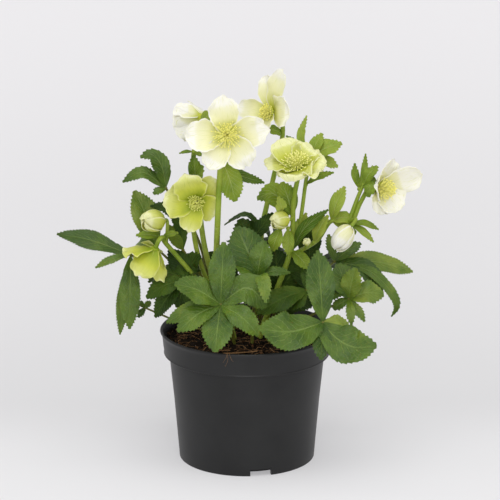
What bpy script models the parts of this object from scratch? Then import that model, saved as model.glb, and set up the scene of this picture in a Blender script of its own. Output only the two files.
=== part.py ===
"""Potted hellebore: a black nursery pot of soil with a hellebore in flower.

Metres, +Z up. The origin is the middle of the pot's foot, on the surface it stands on.
The plant is looked at along +Y, with +X to the right. Places are given in millimetres by place().
"""
import math

import bmesh
import bpy
from mathutils import Matrix, Quaternion, Vector, noise

MM = 0.001
GAP = 0.35 * MM

# Pot
POT_HEIGHT = 130 * MM
LIP_RADIUS = 85 * MM
LIP_FOOT = 8 * MM
LIP_ROUND = 4 * MM
LIP_FLAT = 2.6 * MM
LIP_EDGE = 0.7 * MM
COLLAR_TOP_RADIUS = 83.5 * MM
COLLAR_FOOT_RADIUS = 81 * MM
COLLAR_DEPTH = 24 * MM
COLLAR_WALL = 2.5 * MM
STEP_SLOPE = 2 * MM
BODY_TOP_RADIUS = 75 * MM
FOOT_RADIUS = 66.5 * MM
WALL = 1.8 * MM
FOOT_RING = 5 * MM
CHANNEL_WIDTH = 9 * MM
CHANNEL_HEIGHT = 4 * MM
CHANNEL_SLOPE = 1 * MM
BASE_PANEL = 2.5 * MM
NOTCHES = 3
NOTCH_WIDTH = 21 * MM
NOTCH_HEIGHT = 7 * MM
NOTCH_TURN = math.radians(-78)
POT_SIDES = 30

# Soil, and the roots that stand in it
SOIL_TOP = 120 * MM
SOIL_RELIEF = 3 * MM
SOIL_MOUND = 3 * MM
SOIL_GRAIN = 45
SOIL_RINGS = 3
SOIL_SIDES = 20
ROOT_DEPTH = 18 * MM
ROOT_GAP = 1 * MM
NECK_HEIGHT = 8 * MM
PETIOLE_NECK = 0.06
PETIOLE_BEND = 0.4
PETIOLE_BEND_HEIGHT = 0.68
STEM_NECK = 0.12

# Leaves and stems
PETIOLE = 1.9 * MM
PETIOLE_SIDES = 4
FLOWER_STEM = 2.7 * MM
STEM_SIDES = 5
PEDICEL = 1.9 * MM
BLADE = 0.8 * MM
BLADE_FOLD = 0.12
BLADE_FULLNESS = 0.62
BLADE_WIDEST = 1.15
WIDE_BLADE = 29 * MM
TOOTH_CUT = 0.84
TOOTH_PLACE = 0.3
HUB_KNOB = 2.9 * MM
BRACT_KNOB = 2.5 * MM
HUB_INSIDE = 1.6 * MM
LEAFLET_NECK = 0.9 * MM
BACK_HUBS = 40 * MM

# Flowers
SEPAL = 0.8 * MM
SEPAL_CUP = 0.3
SEPAL_TWIST = 0.2
SEPAL_START = 2.2 * MM
SEPAL_WIDEST = 0.6
SEPAL_FOOT = 0.28
SEPAL_BLUNT = 2.4
RECEPTACLE = 4.2 * MM
RECEPTACLE_FLAT = 0.4
TUFT = 2.6 * MM
TUFT_FLAT = 0.6
STAMEN_FOOT = 0.5 * MM
STAMEN_HEAD = 0.95 * MM
OUTER_STAMEN_HEIGHT = 7 * MM
INNER_STAMEN_HEIGHT = 10 * MM
INNER_STAMEN_SPREAD = 0.5
BUD_FOLD = 0.1
BUD_TURN = 0.35
BUD_TAPER = 0.25

FORWARD_SKY = Vector((0, -0.8, 1)).normalized()
BACKWARD_SKY = Vector((0, 0.5, 1)).normalized()


def place(x, y, z):
    """A point of the object, from millimetres."""
    return Vector((x, y, z)) * MM


def own_material(name, colour, roughness):
    """The node's own Principled material."""
    material = bpy.data.materials.new(name)
    material.use_nodes = True
    shader = material.node_tree.nodes["Principled BSDF"]
    shader.inputs["Base Color"].default_value = (*colour, 1)
    shader.inputs["Roughness"].default_value = roughness
    shader.inputs["Metallic"].default_value = 0
    return material


def shown(shape, name, colour, roughness):
    """The finished object of one bmesh."""
    mesh = bpy.data.meshes.new(name)
    shape.to_mesh(mesh)
    shape.free()
    mesh.shade_smooth()
    mesh.set_sharp_from_angle(angle=math.radians(40))
    mesh.materials.append(own_material(name, colour, roughness))
    piece = bpy.data.objects.new(name, mesh)
    bpy.context.scene.collection.objects.link(piece)
    return piece


def helper(shape, collection):
    """A piece that a Boolean uses up, never shown."""
    mesh = bpy.data.meshes.new("helper")
    shape.to_mesh(mesh)
    shape.free()
    piece = bpy.data.objects.new("helper", mesh)
    piece.hide_render = True
    piece.display_type = "WIRE"
    collection.objects.link(piece)
    return piece


def combined(shapes, operation):
    """The first shape joined with the rest, or cut by them, in one Boolean on a collection."""
    rest = bpy.data.collections.new("rest")
    bpy.context.scene.collection.children.link(rest)
    first = helper(shapes[0], bpy.context.scene.collection)
    for shape in shapes[1:]:
        helper(shape, rest)
    join = first.modifiers.new("join", "BOOLEAN")
    join.operation = operation
    join.solver = "EXACT"
    join.operand_type = "COLLECTION"
    join.collection = rest
    graph = bpy.context.evaluated_depsgraph_get()
    result = bmesh.new()
    result.from_mesh(first.evaluated_get(graph).to_mesh())
    for piece in [first, *rest.objects]:
        bpy.data.objects.remove(piece)
    bpy.data.collections.remove(rest)
    bmesh.ops.remove_doubles(result, verts=result.verts, dist=0.5e-5)
    bmesh.ops.triangulate(result, faces=result.faces)
    return result


def smooth_route(points, steps):
    """A smooth curve through the points, as a list of points on it."""
    ends = [2 * points[0] - points[1], *points, 2 * points[-1] - points[-2]]
    route = []
    for a, b, c, d in zip(ends, ends[1:], ends[2:], ends[3:]):
        for step in range(steps):
            u = step / steps
            line = 2 * b + (c - a) * u
            bend = (2 * a - 5 * b + 4 * c - d) * u**2 + (3 * b - a - 3 * c + d) * u**3
            route.append((line + bend) / 2)
    return [*route, points[-1]]


def stalk(points, start_radius, end_radius, sides=STEM_SIDES, steps=2):
    """A round stalk along a smooth curve, one ring of its sides drawn on to the next."""
    route = smooth_route(points, steps)
    shape = bmesh.new()
    bmesh.ops.create_circle(shape, cap_ends=True, segments=sides, radius=1)
    end = list(shape.faces)
    before = Matrix.Identity(4)
    heading = Vector((0, 0, 1))
    turn = Quaternion()
    for number, point in enumerate(route):
        ahead = route[min(number + 1, len(route) - 1)]
        behind = route[max(number - 1, 0)]
        new_heading = (ahead - behind).normalized()
        turn = heading.rotation_difference(new_heading) @ turn
        heading = new_heading
        share = number / (len(route) - 1)
        radius = start_radius + (end_radius - start_radius) * share
        now = Matrix.LocRotScale(point, turn, Vector((radius, radius, radius)))
        if number:
            rim = {edge for face in end for edge in face.edges}
            drawn = bmesh.ops.extrude_face_region(shape, geom=[*end, *rim])["geom"]
            end = [item for item in drawn if isinstance(item, bmesh.types.BMFace)]
        corners = {corner for face in end for corner in face.verts}
        bmesh.ops.transform(shape, matrix=now @ before.inverted(), verts=list(corners))
        before = now
    bmesh.ops.recalc_face_normals(shape, faces=shape.faces)
    return shape


def ball(centre, radius, flat=1.0, sides=6):
    """A small round knob, flattened along +Z."""
    shape = bmesh.new()
    matrix = Matrix.LocRotScale(centre, None, Vector((1, 1, flat)))
    rings = sides // 2
    bmesh.ops.create_uvsphere(shape, u_segments=sides, v_segments=rings, radius=radius, matrix=matrix)
    return shape


def thickened(sheet, thickness):
    """A thin sheet given its thickness, with its two faces split alike."""
    bmesh.ops.triangulate(sheet, faces=sheet.faces)
    bmesh.ops.solidify(sheet, geom=sheet.faces, thickness=thickness)
    bmesh.ops.recalc_face_normals(sheet, faces=sheet.faces)
    return sheet


def leaflet(start, tip, width, arch=0.12, roll=0, sky=FORWARD_SKY):
    """A blade arched from its hub to its tip, folded along its midrib, with teeth that point forward."""
    teeth = 3 if width > WIDE_BLADE else 2
    sheet = bmesh.new()
    bmesh.ops.create_grid(sheet, x_segments=2 * teeth, y_segments=2, size=1)
    length = (tip - start).length
    forward = (tip - start).normalized()
    across = forward.cross(sky).normalized()
    across.rotate(Quaternion(forward, math.radians(roll)))
    above = across.cross(forward)
    for corner in sheet.verts:
        row = round((corner.co.x + 1) * teeth)
        side = corner.co.y
        notch = row % 2 == 1 and side != 0
        if notch:
            along = (row / 2 - TOOTH_PLACE) / teeth
        else:
            along = row // 2 / teeth
        half = 0
        if 0 < row < 2 * teeth:
            half = width / 2 * math.sin(math.pi * along**BLADE_WIDEST) ** BLADE_FULLNESS
        half = max(half * (TOOTH_CUT if notch else 1), LEAFLET_NECK * (row < 2 * teeth))
        rise = arch * length * 4 * along * (1 - along) + BLADE_FOLD * abs(side) * half
        corner.co = start + forward * along * length + across * side * half + above * rise
    bmesh.ops.remove_doubles(sheet, verts=sheet.verts, dist=0.1 * MM)
    return thickened(sheet, BLADE)


def whorl(hub, knob, blades, sky):
    """The knob where blades meet, and the blades from inside it, each as (tip, width, arch, roll)."""
    shapes = [ball(hub, knob)]
    for tip, width, *bend in blades:
        tip = place(*tip)
        start = hub + (tip - hub).normalized() * HUB_INSIDE
        shapes.append(leaflet(start, tip, width * MM, *bend, sky=sky))
    return shapes


def petiole_route(foot, hub):
    """From below the soil straight up, then over to the hub."""
    root = place(foot[0], foot[1], 0) + Vector((0, 0, SOIL_TOP - ROOT_DEPTH))
    out = Vector((hub.x - root.x, hub.y - root.y, 0))
    neck = root + out * PETIOLE_NECK + Vector((0, 0, ROOT_DEPTH + NECK_HEIGHT))
    middle = root + out * PETIOLE_BEND + Vector((0, 0, (hub.z - root.z) * PETIOLE_BEND_HEIGHT))
    return [root, neck, middle, hub]


ROOTS = []


def leaf(name, hub, foot, leaflets, colour, radius=PETIOLE):
    """A leaf is one node: its petiole, and leaflets that spread like fingers from the petiole's end."""
    hub = place(*hub)
    route = petiole_route(foot, hub)
    ROOTS.append((route, radius, PETIOLE_SIDES))
    sky = FORWARD_SKY if hub.y < BACK_HUBS else BACKWARD_SKY
    shapes = [stalk(route, radius * 1.15, radius * 0.85, PETIOLE_SIDES)]
    shapes += whorl(hub, HUB_KNOB, leaflets, sky)
    shown(combined(shapes, "UNION"), name, colour, 0.5)


def flower_stem(name, stalks, whorls, colour, foot):
    """A flower stem is one node: its root, its branches, and the whorls of bracts that grow from them."""
    shapes = []
    for number, (points, start, end) in enumerate(stalks):
        points = [place(*point) for point in points]
        if number == 0:
            root = place(foot[0], foot[1], 0) + Vector((0, 0, SOIL_TOP - ROOT_DEPTH))
            neck = root + Vector((points[0].x - root.x, points[0].y - root.y, 0)) * STEM_NECK
            neck += Vector((0, 0, ROOT_DEPTH + NECK_HEIGHT))
            points = [root, neck, *points]
            ROOTS.append((points, start, STEM_SIDES))
        shapes.append(stalk(points, start, end))
    for hub, bracts in whorls:
        shapes += whorl(place(*hub), BRACT_KNOB, bracts, FORWARD_SKY)
    shown(combined(shapes, "UNION"), name, colour, 0.45)


def sepal(length, width, rise, flare):
    """A broad sepal along +X in the flower's own frame, cupped towards +Z, one edge over its neighbour."""
    sheet = bmesh.new()
    bmesh.ops.create_grid(sheet, x_segments=4, y_segments=2, size=1)
    rise = math.radians(rise)
    bend = math.radians(flare) - rise
    bend = bend if abs(bend) > 0.01 else 0.01
    for corner in sheet.verts:
        along = (corner.co.x + 1) / 2
        side = corner.co.y
        if along < SEPAL_WIDEST:
            share = SEPAL_FOOT + (1 - SEPAL_FOOT) * math.sin(math.pi / 2 * along / SEPAL_WIDEST)
        else:
            beyond = (along - SEPAL_WIDEST) / (1 - SEPAL_WIDEST)
            share = max(1 - beyond**SEPAL_BLUNT, 0) ** 0.5
        half = width / 2 * share
        angle = rise + bend * along
        out = SEPAL_START + length * (math.sin(angle) - math.sin(rise)) / bend
        up = length * (math.cos(rise) - math.cos(angle)) / bend
        edge = half * (SEPAL_CUP * side**2 + SEPAL_TWIST * side)
        corner.co = Vector((out - edge * math.sin(angle), side * half, up + edge * math.cos(angle)))
    bmesh.ops.remove_doubles(sheet, verts=sheet.verts, dist=0.1 * MM)
    return thickened(sheet, SEPAL)


# Each bloom or bud: its middle, the way it faces, and how far behind its middle its stalk ends.
HEADS = {
    "front_bloom": ((-19, -24, 331), (0.05, -1, 0.2), 2.05),
    "side_bloom": ((-44, 42, 332), (-0.6, 0.65, -0.4), 2.2),
    "top_bloom": ((25, 40, 337), (-0.7, -0.65, 0.28), 2.2),
    "broad_bloom": ((48, -20, 296), (-0.12, -0.45, 0.88), 2.05),
    "green_bloom": ((-48, -20, 264), (-0.15, -1, 0), 2.3),
    "left_bloom": ((-88, -30, 220), (-0.35, 0.3, -0.85), 2.05),
    "right_bloom": ((126, 4, 271), (0.65, -0.72, 0.1), 2.05),
    "left_bud": ((-90, -26, 248), (-0.55, -0.6, 0.45), 14),
    "middle_bud": ((32, -20, 245), (-0.6, -0.6, 0.1), 11),
    "right_bud": ((93, -18, 227), (-0.3, -0.3, -0.9), 15),
    "small_bud": ((59, -22, 217), (0.1, -0.7, 0.6), 6),
}


def reach(name):
    """The last two points of a stalk, on the axis behind a bloom or bud and just clear of it."""
    centre, facing, back = HEADS[name]
    facing = Vector(facing).normalized()
    return [tuple(Vector(centre) - facing * away) for away in (back + 8, back)]


def flower_frame(centre, facing):
    """The flower's own frame: +Z the way it faces, and +Y up as far as that goes."""
    facing = Vector(facing).normalized()
    right = Vector((0, 0, 1)).cross(facing).normalized()
    up = facing.cross(right)
    turned = Matrix((right, up, facing)).transposed().to_4x4()
    return Matrix.Translation(place(*centre)) @ turned


def moved(shape, matrix):
    bmesh.ops.transform(shape, matrix=matrix, verts=shape.verts)
    return shape


def bloom(name, sepals, colour, stamens=10, spread=8):
    """A bloom is two nodes: the sepals round their receptacle, and the tuft of stamens in front of it."""
    frame = flower_frame(*HEADS[name][:2])
    shapes = [moved(ball(Vector(), RECEPTACLE, RECEPTACLE_FLAT), frame)]
    for angle, length, width, rise, flare in sepals:
        one = sepal(length * MM, width * MM, rise, flare)
        shapes.append(moved(one, frame @ Matrix.Rotation(math.radians(angle), 4, "Z")))
    shown(combined(shapes, "UNION"), name + "_sepals", colour, 0.5)
    base = Vector((0, 0, RECEPTACLE * RECEPTACLE_FLAT + GAP + TUFT * TUFT_FLAT))
    shapes = [moved(ball(base, TUFT, TUFT_FLAT), frame)]
    for number in range(stamens):
        angle = 2 * math.pi * number / stamens
        outer = number % 2
        away = spread * MM * (1 if outer else INNER_STAMEN_SPREAD)
        out = Vector((math.cos(angle), math.sin(angle), 0))
        high = Vector((0, 0, OUTER_STAMEN_HEIGHT if outer else INNER_STAMEN_HEIGHT))
        ends = [base + out * TUFT * 0.4, base + out * away + high]
        shapes.append(moved(stalk(ends, STAMEN_FOOT, STAMEN_HEAD, 3, 1), frame))
    shown(combined(shapes, "UNION"), name + "_stamens", (0.80, 0.72, 0.12), 0.6)


def bud(name, length, radius, colour, open_end=0.0):
    """A closed bud: five sepals wrapped over each other, raised as five folds that turn round the axis."""
    shape = bmesh.new()
    bmesh.ops.create_uvsphere(shape, u_segments=10, v_segments=7, radius=1)
    for corner in shape.verts:
        around = math.atan2(corner.co.y, corner.co.x)
        high = corner.co.z
        fold = (around * 5 / (2 * math.pi) + BUD_TURN * high) % 1
        swell = 1 + BUD_FOLD * fold * (1 - high**2) + open_end * max(high, 0) * fold
        point = 1 - BUD_TAPER * max(high, 0) ** 3
        wide = radius * MM * swell * point
        corner.co = Vector((corner.co.x * wide, corner.co.y * wide, high * length / 2 * MM))
    moved(shape, flower_frame(*HEADS[name][:2]))
    bmesh.ops.triangulate(shape, faces=shape.faces)
    shown(shape, name, colour, 0.5)


def turned(profile, sides):
    """A closed outline of (radius, height) points turned full circle about the pot's axis."""
    shape = bmesh.new()
    corners = [shape.verts.new((radius, 0, height)) for radius, height in profile]
    loop = [shape.edges.new(pair) for pair in zip(corners, corners[1:])]
    bmesh.ops.spin(
        shape, geom=corners + loop, axis=(0, 0, 1), cent=(0, 0, 0),
        angle=2 * math.pi, steps=sides, use_merge=True,
    )
    bmesh.ops.remove_doubles(shape, verts=shape.verts, dist=0.01 * MM)
    bmesh.ops.recalc_face_normals(shape, faces=shape.faces)
    return shape


def inner_radius(height):
    """The pot's inside, which the soil fills."""
    share = height / (POT_HEIGHT - COLLAR_DEPTH)
    return FOOT_RADIUS - WALL + (BODY_TOP_RADIUS - FOOT_RADIUS) * min(share, 1)


def make_pot():
    """A thin moulded pot: lip, upright collar, tapered body, and a foot ring round a flat base panel."""
    step = POT_HEIGHT - COLLAR_DEPTH
    ring = FOOT_RADIUS - FOOT_RING
    panel = ring - CHANNEL_WIDTH
    outside = [
        (0, 0), (panel, 0), (panel + CHANNEL_SLOPE, CHANNEL_HEIGHT), (ring - CHANNEL_SLOPE, CHANNEL_HEIGHT),
        (ring, 0), (FOOT_RADIUS, 0), (BODY_TOP_RADIUS, step - STEP_SLOPE), (COLLAR_FOOT_RADIUS, step),
        (COLLAR_TOP_RADIUS, POT_HEIGHT - LIP_FOOT), (LIP_RADIUS, POT_HEIGHT - LIP_ROUND),
        (LIP_RADIUS - LIP_EDGE, POT_HEIGHT - LIP_EDGE), (LIP_RADIUS - LIP_FLAT, POT_HEIGHT),
    ]
    floor = CHANNEL_HEIGHT + BASE_PANEL
    inside = [
        (COLLAR_FOOT_RADIUS - COLLAR_WALL, step + 2 * STEP_SLOPE), (inner_radius(step), step - STEP_SLOPE),
        (inner_radius(floor), floor), (panel, floor), (panel - 2 * CHANNEL_SLOPE, BASE_PANEL),
        (0, BASE_PANEL),
    ]
    shape = turned(outside + inside, POT_SIDES)
    cutters = []
    for number in range(NOTCHES):
        cutter = bmesh.new()
        size = (FOOT_RING * 3, NOTCH_WIDTH, 2 * NOTCH_HEIGHT)
        bmesh.ops.create_cube(cutter, size=1, matrix=Matrix.Diagonal((*size, 1)))
        turn = Matrix.Rotation(2 * math.pi * number / NOTCHES + NOTCH_TURN, 4, "Z")
        cutters.append(moved(cutter, turn @ Matrix.Translation((FOOT_RADIUS, 0, 0))))
    shape = combined([shape, *cutters], "DIFFERENCE")
    shown(shape, "pot", (0.032, 0.032, 0.034), 0.42)


def make_soil():
    """The soil fills the pot to below the lip, with a plain hole round each stem."""
    floor = CHANNEL_HEIGHT + BASE_PANEL + GAP
    step = POT_HEIGHT - COLLAR_DEPTH
    panel = FOOT_RADIUS - FOOT_RING - CHANNEL_WIDTH
    wall = inner_radius(step) - 3 * GAP
    rim = COLLAR_FOOT_RADIUS - COLLAR_WALL - 3 * GAP
    low = BASE_PANEL + GAP
    side = [
        (0, low), (panel - 3 * CHANNEL_SLOPE, low), (panel - CHANNEL_SLOPE, floor),
        (inner_radius(floor) - 4 * GAP, floor), (wall, step - STEP_SLOPE),
        (rim, step + 3 * STEP_SLOPE), (rim, SOIL_TOP - STEP_SLOPE),
    ]
    top = [(rim * (1 - number / SOIL_RINGS), SOIL_TOP) for number in range(1, SOIL_RINGS + 1)]
    shape = turned(side + top, SOIL_SIDES)
    for corner in shape.verts:
        if corner.co.z > SOIL_TOP - GAP:
            relief = noise.noise(corner.co * SOIL_GRAIN) * SOIL_RELIEF
            mound = SOIL_MOUND * (1 - corner.co.xy.length / rim)
            corner.co.z += relief + mound
    bmesh.ops.triangulate(shape, faces=shape.faces)
    holes = []
    for route, radius, sides in ROOTS:
        foot = route[0] - Vector((0, 0, ROOT_GAP))
        wide = radius * 1.15 + ROOT_GAP
        holes.append(stalk([foot, *route[1:3]], wide, wide, sides))
    shape = combined([shape, *holes], "DIFFERENCE")
    shown(shape, "soil", (0.05, 0.03, 0.02), 0.95)


LEAF_GREEN = (0.075, 0.165, 0.035)
DARK_GREEN = (0.035, 0.09, 0.02)
BRACT_GREEN = (0.24, 0.42, 0.05)


def make_leaves():
    """Each leaf: hub, foot on the soil, then each leaflet's tip, width, arch and roll."""
    leaf("leaf_front_left", (-25, -58, 172), (-12, -26), [
        ((-69, -66, 195), 34, 0.16), ((-30, -92, 135), 31, 0.16), ((11, -82, 148), 27, 0.14),
        ((17, -54, 167), 28, 0.30), ((-22, -46, 231), 28, 0.08), ((-66, -78, 151), 26, 0.14),
        ((-77, -56, 153), 20, 0.14),
    ], LEAF_GREEN)
    leaf("leaf_centre", (10, -34, 192), (5, -22), [
        ((17, -30, 228), 24, 0.06), ((43, -36, 197), 15, 0.2), ((18, -44, 172), 17, 0.1),
        ((-10, -24, 240), 40, 0.06), ((-16, -36, 208), 22, 0.1),
    ], LEAF_GREEN)
    leaf("leaf_front_right", (73, -58, 154), (20, -26), [
        ((11, -90, 158), 38, 0.14, -20), ((69, -40, 221), 34, 0.06), ((120, -82, 132), 44, 0.14),
        ((100, -46, 152), 17, 0.15), ((71, -82, 124), 20, 0.1), ((58, -74, 140), 16, 0.1),
    ], LEAF_GREEN)
    leaf("leaf_right", (99, -20, 166), (30, -12), [
        ((132, -16, 173), 28, 0.2), ((104, -28, 200), 28, 0.1), ((114, -34, 147), 14, 0.1),
        ((100, -40, 146), 14, 0.2),
    ], LEAF_GREEN)
    leaf("leaf_far_right", (86, 20, 192), (27, 6), [
        ((164, 42, 175), 26, 0.14), ((140, 14, 139), 34, 0.3), ((112, 30, 208), 16, 0.1),
        ((80, 30, 217), 12, 0.1),
    ], LEAF_GREEN)
    leaf("leaf_mid_right", (58, -24, 176), (19, -12), [
        ((37, -34, 162), 22, 0.1), ((10, -46, 159), 22, 0.1), ((44, 8, 206), 16, 0.1),
        ((69, -8, 194), 18, 0.1),
    ], DARK_GREEN)
    leaf("leaf_inner_right", (30, 6, 166), (19, 3), [
        ((54, 8, 191), 24, 0.1), ((60, 2, 152), 24, 0.12), ((8, 4, 181), 24, 0.1), ((42, 8, 138), 18, 0.1),
    ], DARK_GREEN)
    leaf("leaf_inner_back", (-30, 34, 164), (-11, 22), [
        ((-14, 34, 188), 24, 0.1), ((-52, 34, 180), 24, 0.1), ((-8, 30, 158), 24, 0.12),
        ((-46, 36, 144), 22, 0.12),
    ], DARK_GREEN)
    leaf("leaf_low_left", (-59, -22, 186), (-22, -18), [
        ((-97, -30, 168), 24, 0.15), ((-91, -22, 147), 24, 0.12), ((-44, -26, 206), 22, 0.1),
        ((-84, -14, 187), 18, 0.1),
    ], DARK_GREEN)
    leaf("leaf_small_low", (-99, -4, 152), (-32, -14), [
        ((-106, -10, 144), 8, 0.1), ((-94, -2, 158), 8, 0.1), ((-109, 4, 156), 8, 0.1),
    ], LEAF_GREEN, 1.5 * MM)
    leaf("leaf_far_left", (-113, 0, 205), (-36, -2), [
        ((-185, 6, 224), 30, 0.05), ((-147, -12, 195), 10, 0.1), ((-112, -22, 138), 30, 0.08),
        ((-124, -8, 126), 14, 0.1),
    ], LEAF_GREEN)
    leaf("leaf_inner_left", (-62, 2, 209), (-26, -3), [
        ((-94, 10, 251), 20, 0.2), ((-77, 4, 233), 20, 0.1),
    ], DARK_GREEN)
    leaf("leaf_tall_left", (-89, 16, 208), (-35, 8), [
        ((-110, 24, 263), 30, 0.06), ((-112, 36, 200), 22, 0.1),
    ], LEAF_GREEN)
    leaf("leaf_upper_left", (-79, 26, 265), (-26, 19), [
        ((-104, 30, 295), 24, 0.25), ((-121, 22, 272), 18, 0.2), ((-91, 18, 261), 10, 0.1),
    ], LEAF_GREEN)
    leaf("leaf_back_centre", (3, 18, 209), (2, 22), [
        ((-7, 22, 235), 26, 0.1), ((-22, 32, 227), 16, 0.25, 60), ((26, 26, 240), 16, 0.1),
    ], DARK_GREEN)
    leaf("leaf_back_upper", (24, 48, 198), (12, 18), [
        ((42, 62, 228), 26, 0.1), ((8, 66, 222), 26, 0.1), ((46, 92, 188), 26, 0.14),
        ((10, 84, 196), 24, 0.14),
    ], DARK_GREEN)
    leaf("leaf_back_left", (-54, 58, 172), (-20, 26), [
        ((-98, 74, 154), 30, 0.16), ((-70, 106, 152), 30, 0.16), ((-30, 104, 160), 28, 0.16),
        ((-84, 46, 178), 22, 0.14),
    ], DARK_GREEN)
    leaf("leaf_back_middle", (6, 66, 180), (2, 32), [
        ((-12, 112, 166), 30, 0.16), ((24, 116, 160), 30, 0.16), ((46, 88, 178), 26, 0.14),
        ((-20, 84, 194), 24, 0.12),
    ], DARK_GREEN)
    leaf("leaf_back_right", (62, 52, 180), (22, 24), [
        ((78, 96, 160), 30, 0.16), ((108, 74, 158), 30, 0.16), ((104, 46, 186), 24, 0.12),
        ((60, 62, 222), 26, 0.08),
    ], DARK_GREEN)


def make_stems():
    """Each flower stem: branches as (points, start radius, end radius), then its whorls of bracts."""
    thick, thin = FLOWER_STEM, PEDICEL
    flower_stem("stem_front_bloom", [
        ([(-30, -12, 177), (-29, -18, 220), (-27, -14, 292), (-24, -9, 315), *reach("front_bloom")],
         thick, thin),
    ], [
        ((-24, -11, 304), [((-11, -24, 265), 25), ((17, 0, 283), 16, 0.2)]),
    ], BRACT_GREEN, (-12, -8))
    flower_stem("stem_side_bloom", [
        ([(-38, 12, 195), (-46, 24, 240), (-52, 36, 294), (-43, 31, 322), *reach("side_bloom")], thick, thin),
    ], [
        ((-50, 31, 268), [((-57, 29, 297), 12), ((-45, 27, 295), 12)]),
    ], BRACT_GREEN, (-14, 12))
    flower_stem("stem_top_bloom", [
        ([(14, 27, 215), (19, 34, 243), (27, 40, 276), (35, 45, 314), *reach("top_bloom")], thick, thin),
    ], [
        ((35, 45, 314), [((23, 38, 322), 12)]),
    ], BRACT_GREEN, (6, 10))
    flower_stem("stem_broad_bloom", [
        ([(28, -6, 168), (43, -4, 213), (45, -10, 260), *reach("broad_bloom")], thick, thin),
        ([(43, -4, 210), (51, -2, 234), (57, -2, 279), (61, 6, 300)], thin, thin * 0.8),
        ([(43, -4, 205), (68, -2, 220), (82, 0, 239), (100, 0, 236), (110, 4, 256), *reach("right_bloom")],
         thin, thin),
        ([(98, 0, 236), (108, 6, 262), (113, 8, 273)], thin, thin * 0.8),
        ([(43, -6, 234), *reach("middle_bud")], thin * 0.8, thin * 0.8),
        ([(96, 0, 237), *reach("right_bud")], thin * 0.8, thin * 0.8),
        ([(52, -3, 209), *reach("small_bud")], thin * 0.7, thin * 0.6),
    ], [
        ((61, 6, 300), [((59, 18, 340), 14), ((74, 14, 325), 14), ((94, 10, 314), 30), ((90, 4, 290), 20),
                        ((38, 16, 320), 8)]),
        ((57, -2, 280), [((82, -14, 294), 12)]),
        ((44, -6, 246), [((10, 4, 258), 20), ((34, 4, 277), 20)]),
        ((43, -5, 222), [((25, -16, 214), 20)]),
        ((44, -4, 210), [((79, -4, 249), 22), ((60, -14, 194), 16)]),
        ((113, 8, 273), [((103, 8, 295), 10), ((115, 10, 303), 10), ((121, 18, 292), 18)]),
        ((99, 0, 236), [((128, 4, 233), 9), ((122, -2, 220), 9)]),
        ((82, 0, 239), [((94, 6, 271), 18), ((106, 2, 226), 14)]),
    ], BRACT_GREEN, (12, -6))
    flower_stem("stem_green_bloom", [
        ([(-46, 4, 198), (-52, -2, 240), *reach("green_bloom")], thick * 0.9, thin),
    ], [], BRACT_GREEN, (-18, 2))
    flower_stem("stem_left_bloom", [
        ([(-42, -10, 171), (-55, -14, 192), (-78, -17, 221), (-81, -27, 230), *reach("left_bloom")], thick * 0.8, thin),
        ([(-78, -16, 219), *reach("left_bud")], thin * 0.8, thin * 0.8),
    ], [], BRACT_GREEN, (-18, -12))


def make_blooms():
    """Each bloom's sepals, as angle, length, width, rise at the middle and rise at the tip."""
    white = (0.86, 0.85, 0.62)
    lime = (0.55, 0.62, 0.14)
    bloom("front_bloom", [
        (90, 38, 31, 30, -5), (8, 40, 30, 30, -5), (-57, 40, 30, 30, -10), (-114, 40, 30, 30, -5),
        (178, 41, 32, 30, -5),
    ], white, 12, 9)
    bloom("side_bloom", [
        (90, 29, 25, 60, 40), (18, 29, 25, 60, 40), (-54, 29, 25, 60, 40), (-126, 29, 25, 60, 40),
        (162, 29, 25, 60, 40),
    ], white, 8, 5)
    bloom("top_bloom", [
        (72, 46, 20, 28, 0), (106, 36, 20, 30, -5), (160, 37, 18, 42, 5), (40, 30, 21, 28, -5),
        (-85, 22, 24, 40, 15),
    ], white, 8, 6)
    bloom("broad_bloom", [
        (132, 33, 31, 42, 22), (55, 27, 32, 35, 10), (-12, 34, 30, 28, -2), (-82, 24, 34, 32, 2),
        (-168, 31, 28, 32, 8),
    ], lime, 12, 8)
    bloom("green_bloom", [
        (105, 32, 31, 42, 8), (48, 30, 27, 42, 10), (-22, 25, 29, 50, 25),
        (-104, 30, 23, 42, 2), (168, 32, 33, 42, 10),
    ], lime, 10, 7)
    bloom("left_bloom", [
        (45, 31, 27, 45, 35), (-27, 31, 28, 55, 40), (-99, 33, 24, 55, 45), (-171, 30, 24, 50, 49),
        (117, 26, 26, 35, 15),
    ], lime, 8, 5)
    bloom("right_bloom", [
        (60, 35, 27, 32, 5), (18, 44, 28, 45, 34), (-62, 30, 29, 46, 32), (-104, 26, 26, 34, 12),
        (160, 24, 26, 55, 40),
    ], white, 10, 7)
    bud("left_bud", 26, 11.5, lime, 0.1)
    bud("middle_bud", 20, 8, lime)
    bud("right_bud", 28, 10.5, white)
    bud("small_bud", 10, 4.5, lime)


for piece in list(bpy.data.objects):
    bpy.data.objects.remove(piece)
make_leaves()
make_stems()
make_blooms()
make_pot()
make_soil()
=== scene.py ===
"""The looks of the potted hellebore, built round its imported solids.

Metres, +Z up, with the pot's foot on the floor at the origin. The viewer looks along +Y, with +X to the
right. Places are given in millimetres by place(), as in the part's source.
"""
import math
import random

import bmesh
import bpy
from mathutils import Matrix, Quaternion, Vector, noise


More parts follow.
